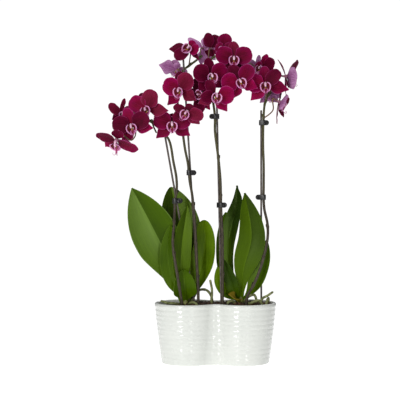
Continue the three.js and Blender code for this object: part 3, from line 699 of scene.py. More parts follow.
def make_bark():
    """Chunky fir bark heaped in the pot: a dark mound under some hundreds of loose chips."""
    rng = np.random.default_rng(7)
    skin = Skin()
    add_bark_bed(skin, rng)
    for _ in range(CHIPS):
        x, y, z = chip_spot(rng)
        size = [rng.uniform(*limits) for limits in CHIP_SIZES]
        add_chip(skin, rng, (x, y, z + rng.uniform(-1.6, 2.2)), size, int(rng.integers(0, 3)))
    materials = [bark_matter(name, rgb(*dark), rgb(*light)) for name, (dark, light) in BARK_PAINT.items()]
    skin.piece("bark_chips", materials, ["bark_mix"], "bark")


# ---- stakes, clips and stems
def stake_at(which, z):
    foot, top = (np.array(p, float) for p in STAKES[which])
    return foot + (top - foot) * (z - foot[2]) / (top[2] - foot[2])


def side_of(towards):
    side = np.array([*towards, 0.0])
    return side / np.linalg.norm(side)


def stem_offset(clip):
    """How far the stem stands from the middle of its stake."""
    return STAKE_RADIUS + GAP + clip["stem_radius"]


def held_stem(clip):
    """Where a clip holds its stem, beside the stake."""
    return stake_at(clip["stake"], clip["z"]) + side_of(clip["towards"]) * stem_offset(clip)


def make_stakes():
    material = plain_flesh("stake_coating", rgb(52, 44, 40), rgb(96, 86, 78), 160, 0.5)
    for which, (foot, top) in STAKES.items():
        skin = Skin()
        add_tube(skin, np.linspace(foot, top, 40), STAKE_RADIUS, sides=14)
        skin.piece(f"stake_rod_{which}", [material], [f"stake_{which}"], "stake")


def band_outline(apart, radius, count=20):
    """A ring of places and outward ways round two circles of one radius whose centres lie apart on +X."""
    half = np.linspace(-math.pi / 2, math.pi / 2, count)
    turns = np.concatenate([half, half + math.pi])
    centre = np.repeat((apart, 0.0), count)
    ways = np.stack([np.cos(turns), np.sin(turns)], axis=1)
    return np.stack([centre, 0 * centre], axis=1) + ways * radius, ways


def band_section():
    """The section of a clip's band, once round: how far out and how high."""
    foot, wall = -CLIP["height"] / 2, CLIP["wall"]
    low = [(0, foot + 0.5), (0.35, foot), (wall - 0.3, foot), (wall, foot + 0.5), (wall - 0.25, 0.4 * foot)]
    return [*low, (wall + 0.1, 0), *((r, -z) for r, z in reversed(low)), (0, 0)]


EAR_HALF = [(0.1, 0.25), (0.6, 0.28), (0.72, 0.7), (0.9, 0.75), (1.02, 0.4)]
EAR_SECTION = EAR_HALF + [(1.05, 0)] + [(r, -h) for r, h in reversed(EAR_HALF)]


def add_ear(skin, centre, turn, reach):
    """A round finger ear: a thick rim round a dished middle, in the upright plane through the clip."""
    out = np.array([math.cos(turn), math.sin(turn), 0])
    up = np.array([0, 0, 1.0])
    middle, flat = centre + out * reach, np.cross(out, up)
    disc = ring_round(circle(22), out, up)
    skin.add_rings([middle + flat * h + CLIP["ear"] * r * disc for r, h in EAR_SECTION], span=10, flip=True)


def make_clip(number, clip, material):
    """A spring clip: a tall rounded band round stake and stem, with two dished finger ears."""
    out = side_of(clip["towards"])
    across = np.array([-out[1], out[0], 0])
    centre = stake_at(clip["stake"], clip["z"])
    inner = clip["stem_radius"] + 2 * GAP
    section = band_section()
    rings = []
    for place, way in zip(*band_outline(stem_offset(clip), inner)):
        foot = centre + out * place[0] + across * place[1]
        forth = out * way[0] + across * way[1]
        rings.append([foot + forth * r + (0, 0, z) for r, z in section])
    points = np.array(rings).reshape(-1, 3)
    faces = grid_faces(len(rings), len(section), flip=True, around=True, closed=True)
    skin = Skin()
    skin.add(points, faces, points[:, :2] / 10)
    middle = centre + out * stem_offset(clip) / 2
    ears_at = math.atan2(clip["ears"][1], clip["ears"][0])
    for spread in (-CLIP["spread"], CLIP["spread"]):
        add_ear(skin, middle, ears_at + spread, inner + CLIP["wall"] + 0.72 * CLIP["ear"])
    skin.piece(f"clip_spring_{number}", [material], [f"clip_{number}"], "clip")


def make_clips():
    material = plain_flesh("clip_plastic", rgb(14, 14, 14), rgb(34, 34, 35), 300, 0.38)
    for i, clip in enumerate(CLIPS):
        make_clip(i + 1, clip, material)


def stem_routes():
    """The points of each flower stem, some of them where its clips hold it."""
    held = [held_stem(clip).tolist() for clip in CLIPS]
    return {
        1: [
            (-57, -27, 88), (-59, -31, 111), (-66, -34, 157), (-74, -33, 211), (-72, -24, 245),
            (-71, -14.6, 268), held[0], (-67.6, -14.4, 303), (-68, -18, 325), (-73, -18, 352),
            (-81, -19.5, 391), (-95, -16.5, 408), (-113, -8, 423), (-130, -9, 433), (-146, -16, 438),
            (-158, -22, 437),
        ],
        2: [
            (-31, -14, 88), (-30, -15, 117), (-33, -17, 187), (-37, -18, 260), (-41, -18, 298),
            (-44.7, -14.6, 318), held[1], (-48, -14, 350), (-53, -14, 375), (-58, -10, 410), (-66, -5, 456),
            (-66, 0, 490), (-57, 4, 512), (-46, 7, 521), (-34, 8, 530), (-24, 8, 538),
        ],
        3: [
            (12, -25, 88), (12, -26, 120), (12, -28, 180), (11.5, -29, 230), (10, -26, 260), held[2],
            (9, -26.5, 298), (8, -32, 325), (4, -33, 365), (-1, -30, 405), held[3], (-5, -23, 460),
            (-12, -12, 490), (-16, -4, 515), (-6, -2, 533), (12, -2, 541), (32, -2, 541), (50, -2, 532),
        ],
        4: [
            (53, -22, 88), (55, -24, 118), (66, -29, 140), (78, -31, 170), (90, -25, 218), (90.5, -15, 245),
            (85.5, -5.6, 270), held[4], (84.2, -5.4, 312), (84, -8, 350), (83, -9, 380), held[5],
            (86, -10, 455), (91, -10, 468), (96, -7, 474),
        ],
    }


# where each stem has its lower nodes, as shares of its length, and the bare twig end of spray 1
STEM_NODES = [0.13, 0.26, 0.4, 0.53]
BRACT_LENGTH = 5.5
TWIGS = {1: [(-113, -8, 423), (-111, -14, 425), (-108, -17, 415), (-103, -18, 404)]}

# For each bloom: the pixel where the photo shows its heart or the middle of its lip, its depth, its turns in
# degrees, its width, and the share of the stem where its stalk starts, which via bends. The tones of its
# tepals, in the order of TEPALS, are dark, mid, bright or dull (o): partly the blooms' own uneven colour and
# partly painted light and shade, darker where a tepal turns from the light. A capital paints the back as the
# face, painted shade on a back turned from the light.
# A tepal that isn't plain has a further turn, shares of length and width, and maybe a lean forward.
BLOOMS = {
    1: [
        dict(lip=(115.6, 146.2), depth=-88, yaw=-22, pitch=-52, roll=-6, width=68, stalk=0.88, tones="dmbmd",
             upper=(22, 0.75, 1), right_petal=(52, 1.15, 0.8), left_petal=(6, 1, 0.75),
             via=[(-136, -50, 408), (-138, -58, 397), (-145, -68, 390)]),
        dict(lip=(131.7, 128.5), depth=-68, yaw=-5, pitch=-5, roll=18, width=64, stalk=0.985, tones="bbmdd",
             right_side=(-20, 1.1, 1), right_petal=(6, 1, 0.95), left_petal=(8, 1, 0.95)),
        dict(lip=(145.8, 111), depth=-50, yaw=-20, pitch=5, roll=25, width=64, stalk=0.9, tones="dodob",
             right_side=(-13, 1.15, 1), right_petal=(-29, 1.05, 1), left_petal=(30, 1.05, 0.95)),
        dict(lip=(172.2, 126.3), depth=-42, yaw=0, pitch=-5, roll=2, width=64, stalk=0.8, tones="dmmmm",
             upper=(0, 0.55, 0.8), right_side=(-4, 1.1, 1), left_side=(2, 1.1, 1)),
        dict(heart=(120.5, 114.5), depth=-8, yaw=35, pitch=5, roll=-14, width=58, stalk=0.88, tones="oddoo",
             upper=(8, 1.1, 0.5), left_side=(0, 0.6, 0.7), left_petal=(0, 1, 0.62),
             via=[(-140, 14, 438), (-160, 16, 438)]),
    ],
    2: [
        dict(lip=(184.9, 114.5), depth=-64, yaw=-20, pitch=-5, roll=-25, width=60, stalk=0.72, tones="dodod",
             upper=(0, 0.5, 0.9), right_side=(-20, 0.9, 1), right_petal=(8, 1, 0.75),
             left_petal=(-18, 0.85, 0.5), via=[(-58, -42, 446)]),
        dict(lip=(178.4, 92.2), depth=-42, yaw=-25, pitch=-5, roll=6, width=64, stalk=0.8, tones="dobob",
             left_side=(4, 1.12, 1), right_petal=(-22, 1, 1), left_petal=(8, 1, 1)),
        dict(heart=(201, 94.5), depth=-36, yaw=-45, pitch=0, roll=82, width=60, stalk=0.84, tones="moodd",
             left_petal=(-21, 1.1, 1)),
        dict(heart=(176.5, 69.5), depth=10, yaw=-160, pitch=5, roll=0, width=56, stalk=0.86, away=True,
             upper=(0, 0.45, 0.8), right_side=(-57, 1.15, 1.25), right_petal=(-52, 0.6, 0.7),
             left_petal=(-48, 0.8, 0.8)),
        dict(lip=(187, 48.5), depth=-16, yaw=-10, pitch=10, roll=-41, width=60, stalk=0.94, tones="bddbd",
             upper=(0, 0.5, 0.9, 6), right_side=(-31, 0.85, 0.45), left_side=(0, 1.15, 1),
             right_petal=(0, 0.6, 0.7, 5), left_petal=(-98, 1, 0.75)),
        dict(heart=(203.5, 48), depth=50, yaw=160, pitch=10, roll=0, width=58, stalk=0.99, away=True,
             upper=(-30, 0.8, 1), right_side=(35, 1, 1), right_petal=(-12, 1.12, 0.42)),
    ],
    3: [
        dict(lip=(216.5, 97.6), depth=-92, yaw=15, pitch=-8, roll=-12, width=62, stalk=0.76, tones="dbobd",
             upper=(-46, 0.95, 0.85), right_side=(0, 1.1, 1), right_petal=(7, 1, 1),
             left_petal=(-45, 0.85, 0.7)),
        dict(lip=(212.3, 77.7), depth=-74, yaw=22, pitch=0, roll=5, width=62, stalk=0.83, tones="dmdmd"),
        dict(lip=(241.2, 82.9), depth=-69, yaw=5, pitch=0, roll=24, width=62, stalk=0.97, tones="dbbmb",
             upper=(-8, 1, 1.25), right_petal=(-8, 1, 0.85)),
        dict(lip=(234, 60.4), depth=-46, yaw=0, pitch=3, roll=0, width=62, stalk=0.92, tones="odmmm"),
        dict(heart=(210.5, 48.5), depth=14, yaw=170, pitch=15, roll=0, width=56, stalk=0.86, tones="DDDDD",
             upper=(8, 1.05, 1.05), right_side=(33, 0.5, 0.9), left_side=(-33, 0.5, 0.9),
             right_petal=(-52, 0.8, 0.7), left_petal=(46, 0.9, 0.7)),
        dict(heart=(223.5, 49.5), depth=-24, yaw=-5, pitch=12, roll=-3, width=56, stalk=0.94,
             upper=(0, 1.1, 1.4), right_side=(0, 0.6, 0.9), left_side=(0, 0.6, 0.9),
             right_petal=(0, 0.6, 0.7), left_petal=(0, 0.5, 0.7)),
        dict(heart=(257, 69), depth=34, yaw=-160, pitch=10, roll=0, width=52, stalk=0.99, away=True,
             upper=(0, 1, 0.6), via=[(58, 16, 528)]),
    ],
    4: [
        dict(lip=(265.5, 86.8), depth=-52, yaw=-5, pitch=0, roll=4, width=64, stalk=0.96, tones="mmbdb",
             right_side=(-26, 1.2, 1), left_side=(0, 1.1, 1), right_petal=(-22, 1, 0.75),
             left_petal=(-8, 1, 1)),
        dict(heart=(262.5, 68.5), depth=-14, yaw=-45, pitch=15, roll=0, width=56, stalk=0.98, tones="bdddb",
             left_petal=(0, 0.6, 0.7)),
        dict(heart=(286.5, 76.5), depth=-16, yaw=84, pitch=-5, roll=0, width=64, stalk=0.995, tones="DDDDd",
             upper=(0, 0.9, 1.2, -14), right_side=(10, 0.7, 0.6, 8), left_side=(-15, 1.15, 1.1, 6),
             right_petal=(-40, 1, 1, 14), left_petal=(-28, 0.85, 1.2, 18)),
        dict(heart=(280, 102), depth=-26, yaw=78, pitch=-25, roll=0, width=58, stalk=0.88, tones="DDDDm",
             upper=(0, 0.8, 1.3, -10), right_side=(12, 0.9, 0.9, 20), left_side=(-30, 1.25, 0.9, 18),
             right_petal=(0, 0.7, 0.7, 10), left_petal=(-8, 0.85, 1, 13),
             via=[(94, -12, 436), (100, -18, 444)]),
        dict(heart=(269.5, 95), depth=24, yaw=170, pitch=-20, roll=0, width=42, stalk=0.94, away=True),
    ],
}


def seen_at(pixel, y):
    """The place of what the photo shows at a pixel, when it stands at depth y."""
    camera_x, camera_y, camera_z = CAMERA["place"]
    right, below = (value - PHOTO["middle"] for value in pixel)
    far = y - camera_y
    down = math.atan(below / PHOTO["focal"]) + math.radians(PHOTO["down"])
    x, z = camera_x - right * PHOTO["pixel"] * far / camera_y, camera_z - far * math.tan(down)
    return np.array([x, y, z])


def bloom_frame(bloom):
    """The frame of a bloom: +X its right, +Y its upper sepal, +Z the way it faces."""
    yaw, pitch, roll = (math.radians(bloom[key]) for key in ("yaw", "pitch", "roll"))
    facing = np.array([math.sin(yaw) * math.cos(pitch), -math.cos(yaw) * math.cos(pitch), math.sin(pitch)])
    right = np.cross((0, 0, 1), facing)
    right /= np.linalg.norm(right)
    up = np.cross(facing, right)
    turned = np.array([[math.cos(roll), -math.sin(roll), 0], [math.sin(roll), math.cos(roll), 0], [0, 0, 1]])
    axes = np.column_stack([right, up, facing]) @ turned * (bloom["width"] / MODEL_WIDTH)
    seen = axes @ (LIP_MIDDLE if "lip" in bloom else (0, 0, 0))
    pixel = bloom["lip"] if "lip" in bloom else bloom["heart"]
    placed = np.eye(4)
    placed[:3, :3] = axes
    placed[:3, 3] = np.round(seen_at(pixel, bloom["depth"] + seen[1]) - seen, 1)
    return placed


def add_bract(skin, line, share, at, radii, rng):
    """A small pointed scale that clasps the stem at a node."""
    k = int(np.searchsorted(share, at))
    centre, way, radius = line[k], tangents(line)[k], radii[k]
    turn = rng.uniform(0, ROUND)
    side = np.cross(way, (math.cos(turn), math.sin(turn), 0.2))
    side /= np.linalg.norm(side)
    other = np.cross(way, side)
    t = np.linspace(0, 1, 6)[:, None, None]
    spread = (1.35 * (1 - t**1.4) + 0.12) * np.linspace(-1, 1, 7)[None, :, None]
    around = np.cos(spread) * side + np.sin(spread) * other
    front = centre + way * BRACT_LENGTH * (t - 0.12) + (radius + 0.25 + 0.9 * t**2) * around
    add_blade(skin, front, 0.35)


def add_stalk(skin, line, bloom):
    """The stalk of a bloom, from the stem into the back of its core, thicker at both ends."""
    placed = bloom_frame(bloom)
    back, behind = ((placed @ (0, 0, z, 1))[:3] for z in (SEAT["back"], SEAT["bend"]))
    facing = (back - behind) / np.linalg.norm(back - behind)
    start = line[int(round(bloom["stalk"] * (len(line) - 1)))]
    way = [start, *bloom.get("via", []), behind, back - facing * GAP]
    path = resample(curve_through(way, 14), 34)
    along = np.linspace(0, 1, len(path))
    thick = STALK_RADIUS + 0.5 * smooth(along, 0.55, 1.0) + 0.35 * smooth(along, 0.12, 0.0)
    add_tube(skin, path, thick, sides=9, slot=1)


def add_twig(skin, route):
    """A short bare twig that swells once and thickens to its end."""
    path = resample(curve_through(route, 14), 30)
    along = np.linspace(0, 1, len(path))
    add_tube(skin, path, 1.1 + 0.4 * along + 1.3 * hump(along, 0.25, 0.16))


def make_stems():
    """Flower stems with swollen nodes and bracts, and the stalk of each bloom."""
    materials = [stem_skin(), plain_flesh("bloom_stalk", rgb(74, 46, 34), rgb(128, 92, 58), 220, 0.5)]
    for which, route in stem_routes().items():
        rng = np.random.default_rng(40 + which)
        line = resample(curve_through(route, 12), 150)
        share = np.linspace(0, 1, len(line))
        radii = lerp(*STEM_RADIUS, share)
        nodes = STEM_NODES + [bloom["stalk"] for bloom in BLOOMS[which]]
        for at in nodes:
            radii = radii + 0.45 * hump(share, at, 0.006)
        skin = Skin()
        add_tube(skin, line, radii, sides=12)
        for at in nodes:
            add_bract(skin, line, share, min(at, 0.985), radii, rng)
        for bloom in BLOOMS[which]:
            add_stalk(skin, line, bloom)
        if which in TWIGS:
            add_twig(skin, TWIGS[which])
        skin.piece(f"spray{which}_flower_stem", materials, [f"spray{which}_stem"], "stem")


# ---- blooms
# for each form: how its foot and its tip narrow, its width at the claw, where the claw ends, and its taper
TEPAL_FORM = {
    "petal": (0.85, 0.85, 0.3, 0.22, 0.0),
    "upper": (0.9, 1.0, 0.5, 0.35, 0.0),
    "side": (0.95, 1.6, 0.5, 0.45, 0.5),
}
# for each tepal: its form, turn in degrees, length, half width, height on the core, and the bend of its tip
TEPALS = {
    "upper": ("upper", 0, 32, 10.5, -1.9, -1.2),
    "right_side": ("side", 132, 35, 12, -1.9, -1.2),
    "left_side": ("side", -132, 35, 12, -1.9, -1.2),
    "right_petal": ("petal", 72, 34, 16.5, 0.9, 2),
    "left_petal": ("petal", -72, 34, 16.5, 0.9, 2),
}
PLAIN_TEPAL = (0, 1, 1)
# for each tone: its dark, middle, border and rim colours, and its sheen; the last is the pale back. The
# border and rim colours are painted highlights, and the tones are partly the blooms' own uneven colour and
# partly painted light and shade, a darker tone for a tepal turned from the light.
TEPAL_PAINT = {
    "dark": ((62, 0, 22), (92, 0, 36), (98, 0, 46), (160, 60, 112), 0.04),
    "mid": ((80, 0, 28), (112, 0, 44), (130, 0, 72), (180, 80, 138), 0.04),
    "bright": ((100, 0, 32), (132, 0, 54), (150, 0, 86), (196, 90, 150), 0.05),
    "dull": ((86, 8, 32), (116, 20, 50), (126, 20, 62), (180, 84, 132), 0.05),
    "back": ((128, 62, 116), (182, 128, 174), (196, 150, 190), (140, 30, 110), 0.05),
}
TONES = "dmbo"
PALE_BACK = len(TONES)
CORE_SLOT = len(TEPAL_PAINT)
CORE_RADII = {SEAT["back"]: 1.9, -3: 2.4, -0.5: 3.6, 1: 4, SEAT["front"]: 3.4}


def tepal_grid(rng, which, change, rows=18, columns=15):
    """The front of one sepal or petal: round-ended, lightly channelled, with a soft uneven edge."""
    form, turn, length, half_width, lift, sweep = TEPALS[which]
    more, longer, wider, forward = (*change, 0)[:4]
    length, half_width = length * longer, half_width * wider
    u = np.linspace(0.035, 0.985, rows)
    t = (1 - np.cos(math.pi * u)) / 2
    turn = math.radians(turn + more) + rng.normal(0, 0.03)
    out = np.array([math.sin(turn), math.cos(turn), 0]) * length
    tip_bend = sweep + forward + rng.normal(0, 0.9)
    bends = ((0.05, 0), (0.55, 0.9 * sweep + 0.35 * forward), (1, tip_bend))
    spine = bezier([out * share + (0, 0, lift + bend) for share, bend in bends], t)
    foot, tip, claw, claw_end, taper = TEPAL_FORM[form]
    width = np.sin(math.pi * u) ** np.where(t < 0.5, foot, tip) * lerp(claw, 1, smooth(t, 0.0, claw_end))
    width = width * (1 - taper * smooth(t, 0.45, 1.0))
    phase = rng.uniform(0, ROUND, 4)
    edge = 1 + 0.025 * np.sin(7 * t + phase[0]) + 0.015 * np.sin(17 * t + phase[1])
    half = (half_width * width * edge)[:, None]
    s, t = np.linspace(-1, 1, columns)[None, :], t[:, None]
    wave = 0.75 * np.sin(9 * t + 2.2 * s + phase[2]) + 0.4 * np.sin(17 * t - 3 * s + phase[3])
    channel = 0.09 * half * np.abs(s) ** 1.7
    groove = 0.35 * hump(s, 0, 0.09) * smooth(t, 0.95, 0.6)
    rise = channel + wave * s**2 * smooth(t, 0.1, 0.6) - groove
    return blade_front(spine, (0, 0, 1), half * s, rise), 0.85 - 0.35 * np.abs(s) ** 3


def bloom_tepals(rng, bloom):
    """Three sepals behind and two broad petals in front, on the core at the end of the stalk."""
    skin = Skin()
    for which, letter in zip(TEPALS, bloom.get("tones", "mmmmm")):
        front, thick = tepal_grid(rng, which, bloom.get(which, PLAIN_TEPAL))
        tone = TONES.index(letter.lower())
        # a capital letter gives the back the face's tone instead of the pale back: painted shade
        add_blade(skin, front, thick, (tone, tone if letter.isupper() else PALE_BACK))
    add_post(skin, (0, 0), CORE_RADII, sides=14, slot=CORE_SLOT)
    return skin


# the parts of the lip as points over its root
LIP_SLOTS = {"inside": 0, "outside": 1, "tongue": 2, "thread": 3, "callus": 4, "column": 5}
TONGUE = [(0, -3.5, 1.6), (0, -12, 4), (0, -15.6, 14)]
THREAD = [(0.5, -15.2, 13.2), (1.4, -16, 16), (3.2, -14.8, 17.6), (4.4, -12.4, 16.6), (4, -11, 14.8)]
CALLUS = [(0, -5, 2), (0, -6.6, 4.6), (0, -7.2, 6.8)]
COLUMN = [(0, 0.4, 0.3), (0, 2.2, 3), (0, 0.4, 6.6), (0, -2.8, 8.4)]
COLUMN_RADII = [(0, 2.8), (0.5, 1.9), (0.8, 2.2), (1, 1.7)]
BRIM_STARTS = 0.68


def on_lip(points, hand=1):
    """Points over the lip's root, in the frame of the bloom; hand -1 mirrors them to the left."""
    return np.array(points) * (hand, 1, 1) + (0, 0, LIP_ROOT)


def lobe_grid(hand, rows=18, columns=12):
    """A side lobe of the lip: it sweeps from the foot of the cup out and up, and its brim flares forward."""
    t = np.linspace(0, 1, rows)[:, None]
    s = np.linspace(0, 1, columns)[None, :]
    turn = np.radians(lerp(-97, 66, t))
    brim = 0.7 + 1.8 * np.sin(math.pi * np.clip(t * 0.9 + 0.02, 0, 1)) ** 1.2
    outer = LIP_RING["radius"] * (1 - 0.12 * smooth(t, 0.75, 1.0)) - 0.6 * np.sin(math.pi * t) ** 2
    wall = smooth(s, 0.0, BRIM_STARTS) ** 0.8
    flare = np.clip((s - BRIM_STARTS) / (1 - BRIM_STARTS), 0, 1)
    radius = lerp(3.0, outer - brim, wall) + brim * flare
    depth = LIP_RING["depth"] * (s / BRIM_STARTS).clip(0, 1) ** 1.2 + flare + 0.9 * t
    x, y = hand * np.cos(turn) * radius, np.sin(turn) * radius + LIP_RING["drop"]
    return np.stack([x, y, LIP_ROOT + 0.9 + depth], axis=-1)


def add_tongue(skin, rows=14, columns=11):
    """The short tongue of the lip: narrow, with a broader middle, and bent forward and up."""
    u = np.linspace(0.02, 0.97, rows)
    s = np.linspace(-1, 1, columns)
    half = (1.3 + 3.6 * hump(u, 0.5, 0.2) * (1 - 0.4 * u))[:, None]
    front = blade_front(bezier(on_lip(TONGUE), u), (0, 1, 0.4), half * s, 0.4 * half * np.abs(s) ** 1.5)
    add_blade(skin, front, 0.9, [LIP_SLOTS["tongue"]] * 2)


def bloom_lip():
    """The lip: side lobes that stand as a ring, a short tongue with two curled threads, and the column."""
    skin = Skin()
    inside, outside = LIP_SLOTS["inside"], LIP_SLOTS["outside"]
    for hand, slots in ((1, (outside, inside)), (-1, (inside, outside))):
        add_blade(skin, lobe_grid(hand), 0.7, slots, edge=inside)
    add_tongue(skin)
    for hand in (1, -1):
        line = curve_through(on_lip(THREAD, hand), 5)
        add_tube(skin, line, np.linspace(0.5, 0.22, len(line)), sides=6, slot=LIP_SLOTS["thread"])
    callus = curve_through(on_lip(CALLUS), 4)
    add_tube(skin, callus, np.linspace(1.9, 1.0, len(callus)), slot=LIP_SLOTS["callus"])
    column = curve_through(on_lip(COLUMN), 4)
    radii = np.interp(np.linspace(0, 1, len(column)), *zip(*COLUMN_RADII))
    add_tube(skin, column, radii, sides=14, slot=LIP_SLOTS["column"])
    return skin


def make_blooms():
    """Two pieces for each bloom, one of its tepals with the core and one of its lip with the column."""
    tepal_materials = [
        petal_face(f"tepal_{tone}", *(rgb(*paint) for paint in paints), sheen)
        for tone, (*paints, sheen) in TEPAL_PAINT.items()
    ]
    tepal_materials.append(plain_flesh("bloom_core", rgb(120, 70, 92), rgb(176, 120, 140), 260, 0.5))
    lip_materials = [
        lip_face("lip_inside", rgb(92, 2, 34), rgb(210, 142, 190), 0.74, 0.88, True),
        lip_face("lip_outside", rgb(160, 74, 140), rgb(214, 164, 204), 0.3, 0.9, True),
        lip_face("lip_tongue", rgb(124, 8, 62), rgb(214, 128, 186), 0.5, 1.0, False),
        plain_flesh("lip_thread", rgb(140, 40, 96), rgb(190, 96, 150), 300, 0.45),
        plain_flesh("lip_callus", rgb(96, 12, 30), rgb(226, 176, 70), 620, 0.4),
        plain_flesh("bloom_column", rgb(206, 140, 178), rgb(240, 212, 226), 200, 0.38),
    ]
    for which, blooms in BLOOMS.items():
        for i, bloom in enumerate(blooms):
            rng = np.random.default_rng(100 * which + i)
            placed = bloom_frame(bloom)
            name = f"spray{which}_bloom{i + 1}"
            tepals_of, lip_of = (name, name) if bloom.get("away") else (f"{name}_tepals", f"{name}_lip")
            tepals, lip = bloom_tepals(rng, bloom), bloom_lip()
            tepals.piece(f"{name}_petals_sepals", tepal_materials, [tepals_of], "tepal", placed)
            lip.piece(f"{name}_lip_column", lip_materials, [lip_of], "lip", placed)


# ---- leaves and roots
# For each leaf: the points of its midrib, half its width, the way its face looks, its kind in LEAF_PAINT, and
# its tip: how blunt it is, how full its sides are and where it is widest.
LEAVES = {
    "left": [
        dict(spine=[(-55, 4, 109), (-74, 6, 155), (-92, 1.5, 200), (-114, -2, 245), (-146, -7, 307)],
             half=40, facing=(-0.25, -1, 0.3), kind="lit_left", tip=(1, 3, 0.57)),
        dict(spine=[(-52, 8, 109), (-56, 24, 170), (-63, 36, 240), (-79, 42, 308)],
             half=36, facing=(0.15, -1, 0.2), kind="lit_right", tip=(0.75, 2.5, 0.52)),
        dict(spine=[(-52, -3, 109), (-60, -11, 150), (-58, -17, 210), (-49, -17, 277)],
             half=16, facing=(0.2, -1, 0.1), kind="lit_right", tip=(0.95, 2.8, 0.52)),
        dict(spine=[(-57, -2, 109), (-74, -7, 140), (-83, -12, 190), (-78, -14, 243)],
             half=14, facing=(-0.3, -1, 0.1)),
        dict(spine=[(-47, 6, 109), (-35, 13, 135), (-22, 18, 180), (-18, 18, 215), (-20, 15, 250)],
             half=20, facing=(-0.1, -1, 0.2), kind="young", tip=(0.45, 2.3, 0.5)),
        dict(spine=[(-52, -4, 109), (-53, -15, 128), (-56, -20, 165)], half=20, facing=(0, -1, 0.3)),
        dict(spine=[(-49, 8, 109), (-41, 17, 135), (-40, 19, 165), (-43, 18, 203)],
             half=10, facing=(0.2, -1, 0.2), kind="shaded"),
    ],
    "right": [
        dict(spine=[(44, -2, 109), (49, -11, 165), (62.5, -15, 222), (51, -22, 299)],
             half=23.5, facing=(0.1, -1, 0.15), kind="fresh_lit_left", tip=(0.95, 2.8, 0.52)),
        dict(spine=[(48, -1, 109), (66, -8, 135), (81, -12, 175), (89, -14, 216)],
             half=15, facing=(-0.3, -1, 0.1), kind="lit_left"),
        dict(spine=[(42, 6, 109), (28, 12, 155), (23.5, 16, 205), (30, 19, 245), (40, 21, 282),
                    (38, 22, 311)],
             half=15, facing=(-0.5, -1, 0.1), kind="shaded", tip=(1.1, 2, 0.56)),
        dict(spine=[(40, 4, 109), (22, 20, 150), (16, 32, 205), (19, 40, 263)],
             half=15, facing=(-0.2, -1, 0.1)),
        dict(spine=[(40, 0, 109), (22, -4, 120), (8, -7, 140), (4, -6, 169)],
             half=9, facing=(-0.2, -1, 0.2), kind="young"),
        dict(spine=[(41, -3, 109), (33, -12, 126), (26, -15, 150), (14, -14, 182)],
             half=10.5, facing=(-0.2, -1, 0.2), kind="shaded"),
        dict(spine=[(43, -4, 108), (36, -20, 116), (24, -27, 124)],
             half=10, facing=(-0.2, -0.6, 0.8), kind="old"),
    ],
}
ROOTS = {
    "left": [
        [(-54, -2, 100), (-68, -22, 106), (-84, -24, 108), (-94, -14, 110)],
        [(-46, 2, 100), (-30, 10, 126), (-16, 10, 127), (-7, 6, 116), (-5, 2, 92)],
        [(-5, 2, 92), (-7, -3, 108), (-6, -6, 128), (-9, -7, 145)],
        [(-50, -2, 98), (-42, -20, 108), (-34, -26, 107), (-28, -26, 94)],
    ],
    "right": [
        [(48, -2, 100), (56, -10, 116), (68, -8, 120), (74, -6, 92)],
        [(46, -2, 100), (62, -24, 108), (76, -26, 112), (86, -18, 92)],
        [(74, -6, 92), (82, -10, 114), (91, -10, 119), (100, -8, 125)],
        [(86, -18, 92), (90, -12, 110), (93, -4, 114), (92, 4, 96)],
        [(42, -2, 98), (28, -14, 110), (22, -16, 108), (20, -14, 92)],
    ],
}
CROWNS = {"left": (-52, 2), "right": (44, 2)}
ROUND_TIP = (0.66, 2.3, 0.5)
# for each kind: its deep, middle and bright colours, its sheen, and the half in the light: right is negative.
# The bright colour is also a painted highlight, a half in the light is painted light, and shaded is a darker
# copy of the paint, painted shade for leaves that stand behind others.
LEAF_PAINT = {
    "upper": ((30, 50, 0), (58, 84, 0), (106, 136, 40), 0.26),
    "under": ((44, 66, 2), (72, 98, 8), (112, 136, 40), 0.42),
    "young": ((56, 80, 0), (84, 112, 0), (126, 150, 36), 0.34),
    "old": ((76, 70, 12), (124, 104, 26), (150, 128, 50), 0.5),
    "lit_left": ((28, 48, 0), (60, 86, 0), (118, 146, 70), 0.24, 1),
    "fresh_lit_left": ((26, 42, 0), (48, 70, 0), (92, 120, 12), 0.24, 0.8),
    "shaded": ((16, 32, 2), (34, 56, 2), (70, 96, 20), 0.3),
    "lit_right": ((30, 48, 0), (54, 76, 0), (98, 126, 24), 0.26, -0.6),
}
SAME_BELOW = ("young", "old")
ROOT_SLOT = len(LEAF_PAINT)
CROWN_SLOT = ROOT_SLOT + 1
CROWN_RADII = {72: 7, 84: 7.6, 96: 8, 104: 8, 110: 7.4, 115: 6.2, 118: 4.5}


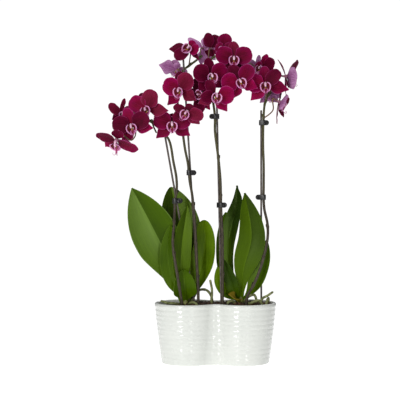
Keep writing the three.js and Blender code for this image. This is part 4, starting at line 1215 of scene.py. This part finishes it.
def leaf_grid(leaf, rng, rows=26, columns=15):
    """The upper face of a leaf and its thickness: channelled along the midrib, with a slow wave."""
    dense = curve_through(leaf["spine"], 24)
    t = 1 - (1 - np.linspace(0, 0.995, rows)) ** 1.35
    at = t * (len(dense) - 1)
    spine = np.stack([np.interp(at, np.arange(len(dense)), dense[:, i]) for i in range(3)], axis=1)
    blunt, fullness, widest = leaf.get("tip", ROUND_TIP)
    closing = 1 - np.clip((t - widest) / (1.002 - widest), 0, 1) ** fullness
    phase = rng.uniform(0, ROUND, 3)
    half = leaf["half"] * (0.2 + 0.8 * smooth(t, 0.06, widest)) * closing**blunt
    half = (half * (1 + 0.02 * np.sin(9 * t + phase[0])))[:, None]
    s, t = np.linspace(-1, 1, columns)[None, :], t[:, None]
    wave = 0.055 * half * np.sin(5 * t + 1.5 * s + phase[1]) * s**2
    rise = 0.34 * half * np.abs(s) ** 1.15 + wave - 0.5 * hump(s, 0, 0.06)
    thick = LEAF_THICKNESS * (1 - 0.55 * np.abs(s) ** 2.5) + 0.9 * hump(s, 0, 0.1)
    return blade_front(spine, leaf["facing"], half * s, rise), thick


def add_leaf(skin, leaf, rng):
    """A leaf with the paint of its kind above, and below it the paint of undersides or its own."""
    kinds = list(LEAF_PAINT)
    kind = leaf.get("kind", "upper")
    upper = kinds.index(kind)
    under = upper if kind in SAME_BELOW else kinds.index("under")
    add_blade(skin, *leaf_grid(leaf, rng), (upper, under))


def make_plants():
    """The two plants: leaves, aerial roots and a short crown that stands in the bark."""
    materials = [
        leaf_face(f"leaf_{kind}", *(rgb(*paint) for paint in paints[:3]), *paints[3:])
        for kind, paints in LEAF_PAINT.items()
    ]
    materials.append(plain_flesh("root_skin", rgb(80, 84, 40), rgb(132, 138, 88), 150, 0.65))
    materials.append(plain_flesh("crown_sheath", rgb(70, 66, 30), rgb(134, 140, 60), 120, 0.6))
    for number, (name, crown) in enumerate(CROWNS.items()):
        rng = np.random.default_rng(11 + number)
        skin = Skin()
        for leaf in LEAVES[name]:
            add_leaf(skin, leaf, rng)
        for route in ROOTS[name]:
            line = resample(curve_through(route, 16), 46)
            radii = np.linspace(ROOT_RADIUS, ROOT_RADIUS * 0.72, len(line)) + rng.normal(0, 0.1, len(line))
            add_tube(skin, line, radii, sides=12, slot=ROOT_SLOT)
        add_post(skin, crown, CROWN_RADII, sides=18, slot=CROWN_SLOT)
        skin.piece(f"plant_{name}", materials, [f"leaves_{name}"], "leaf")


# ---- the whole
set_stage()
make_pot()
make_bark()
make_stakes()
make_clips()
make_stems()
make_blooms()
make_plants()
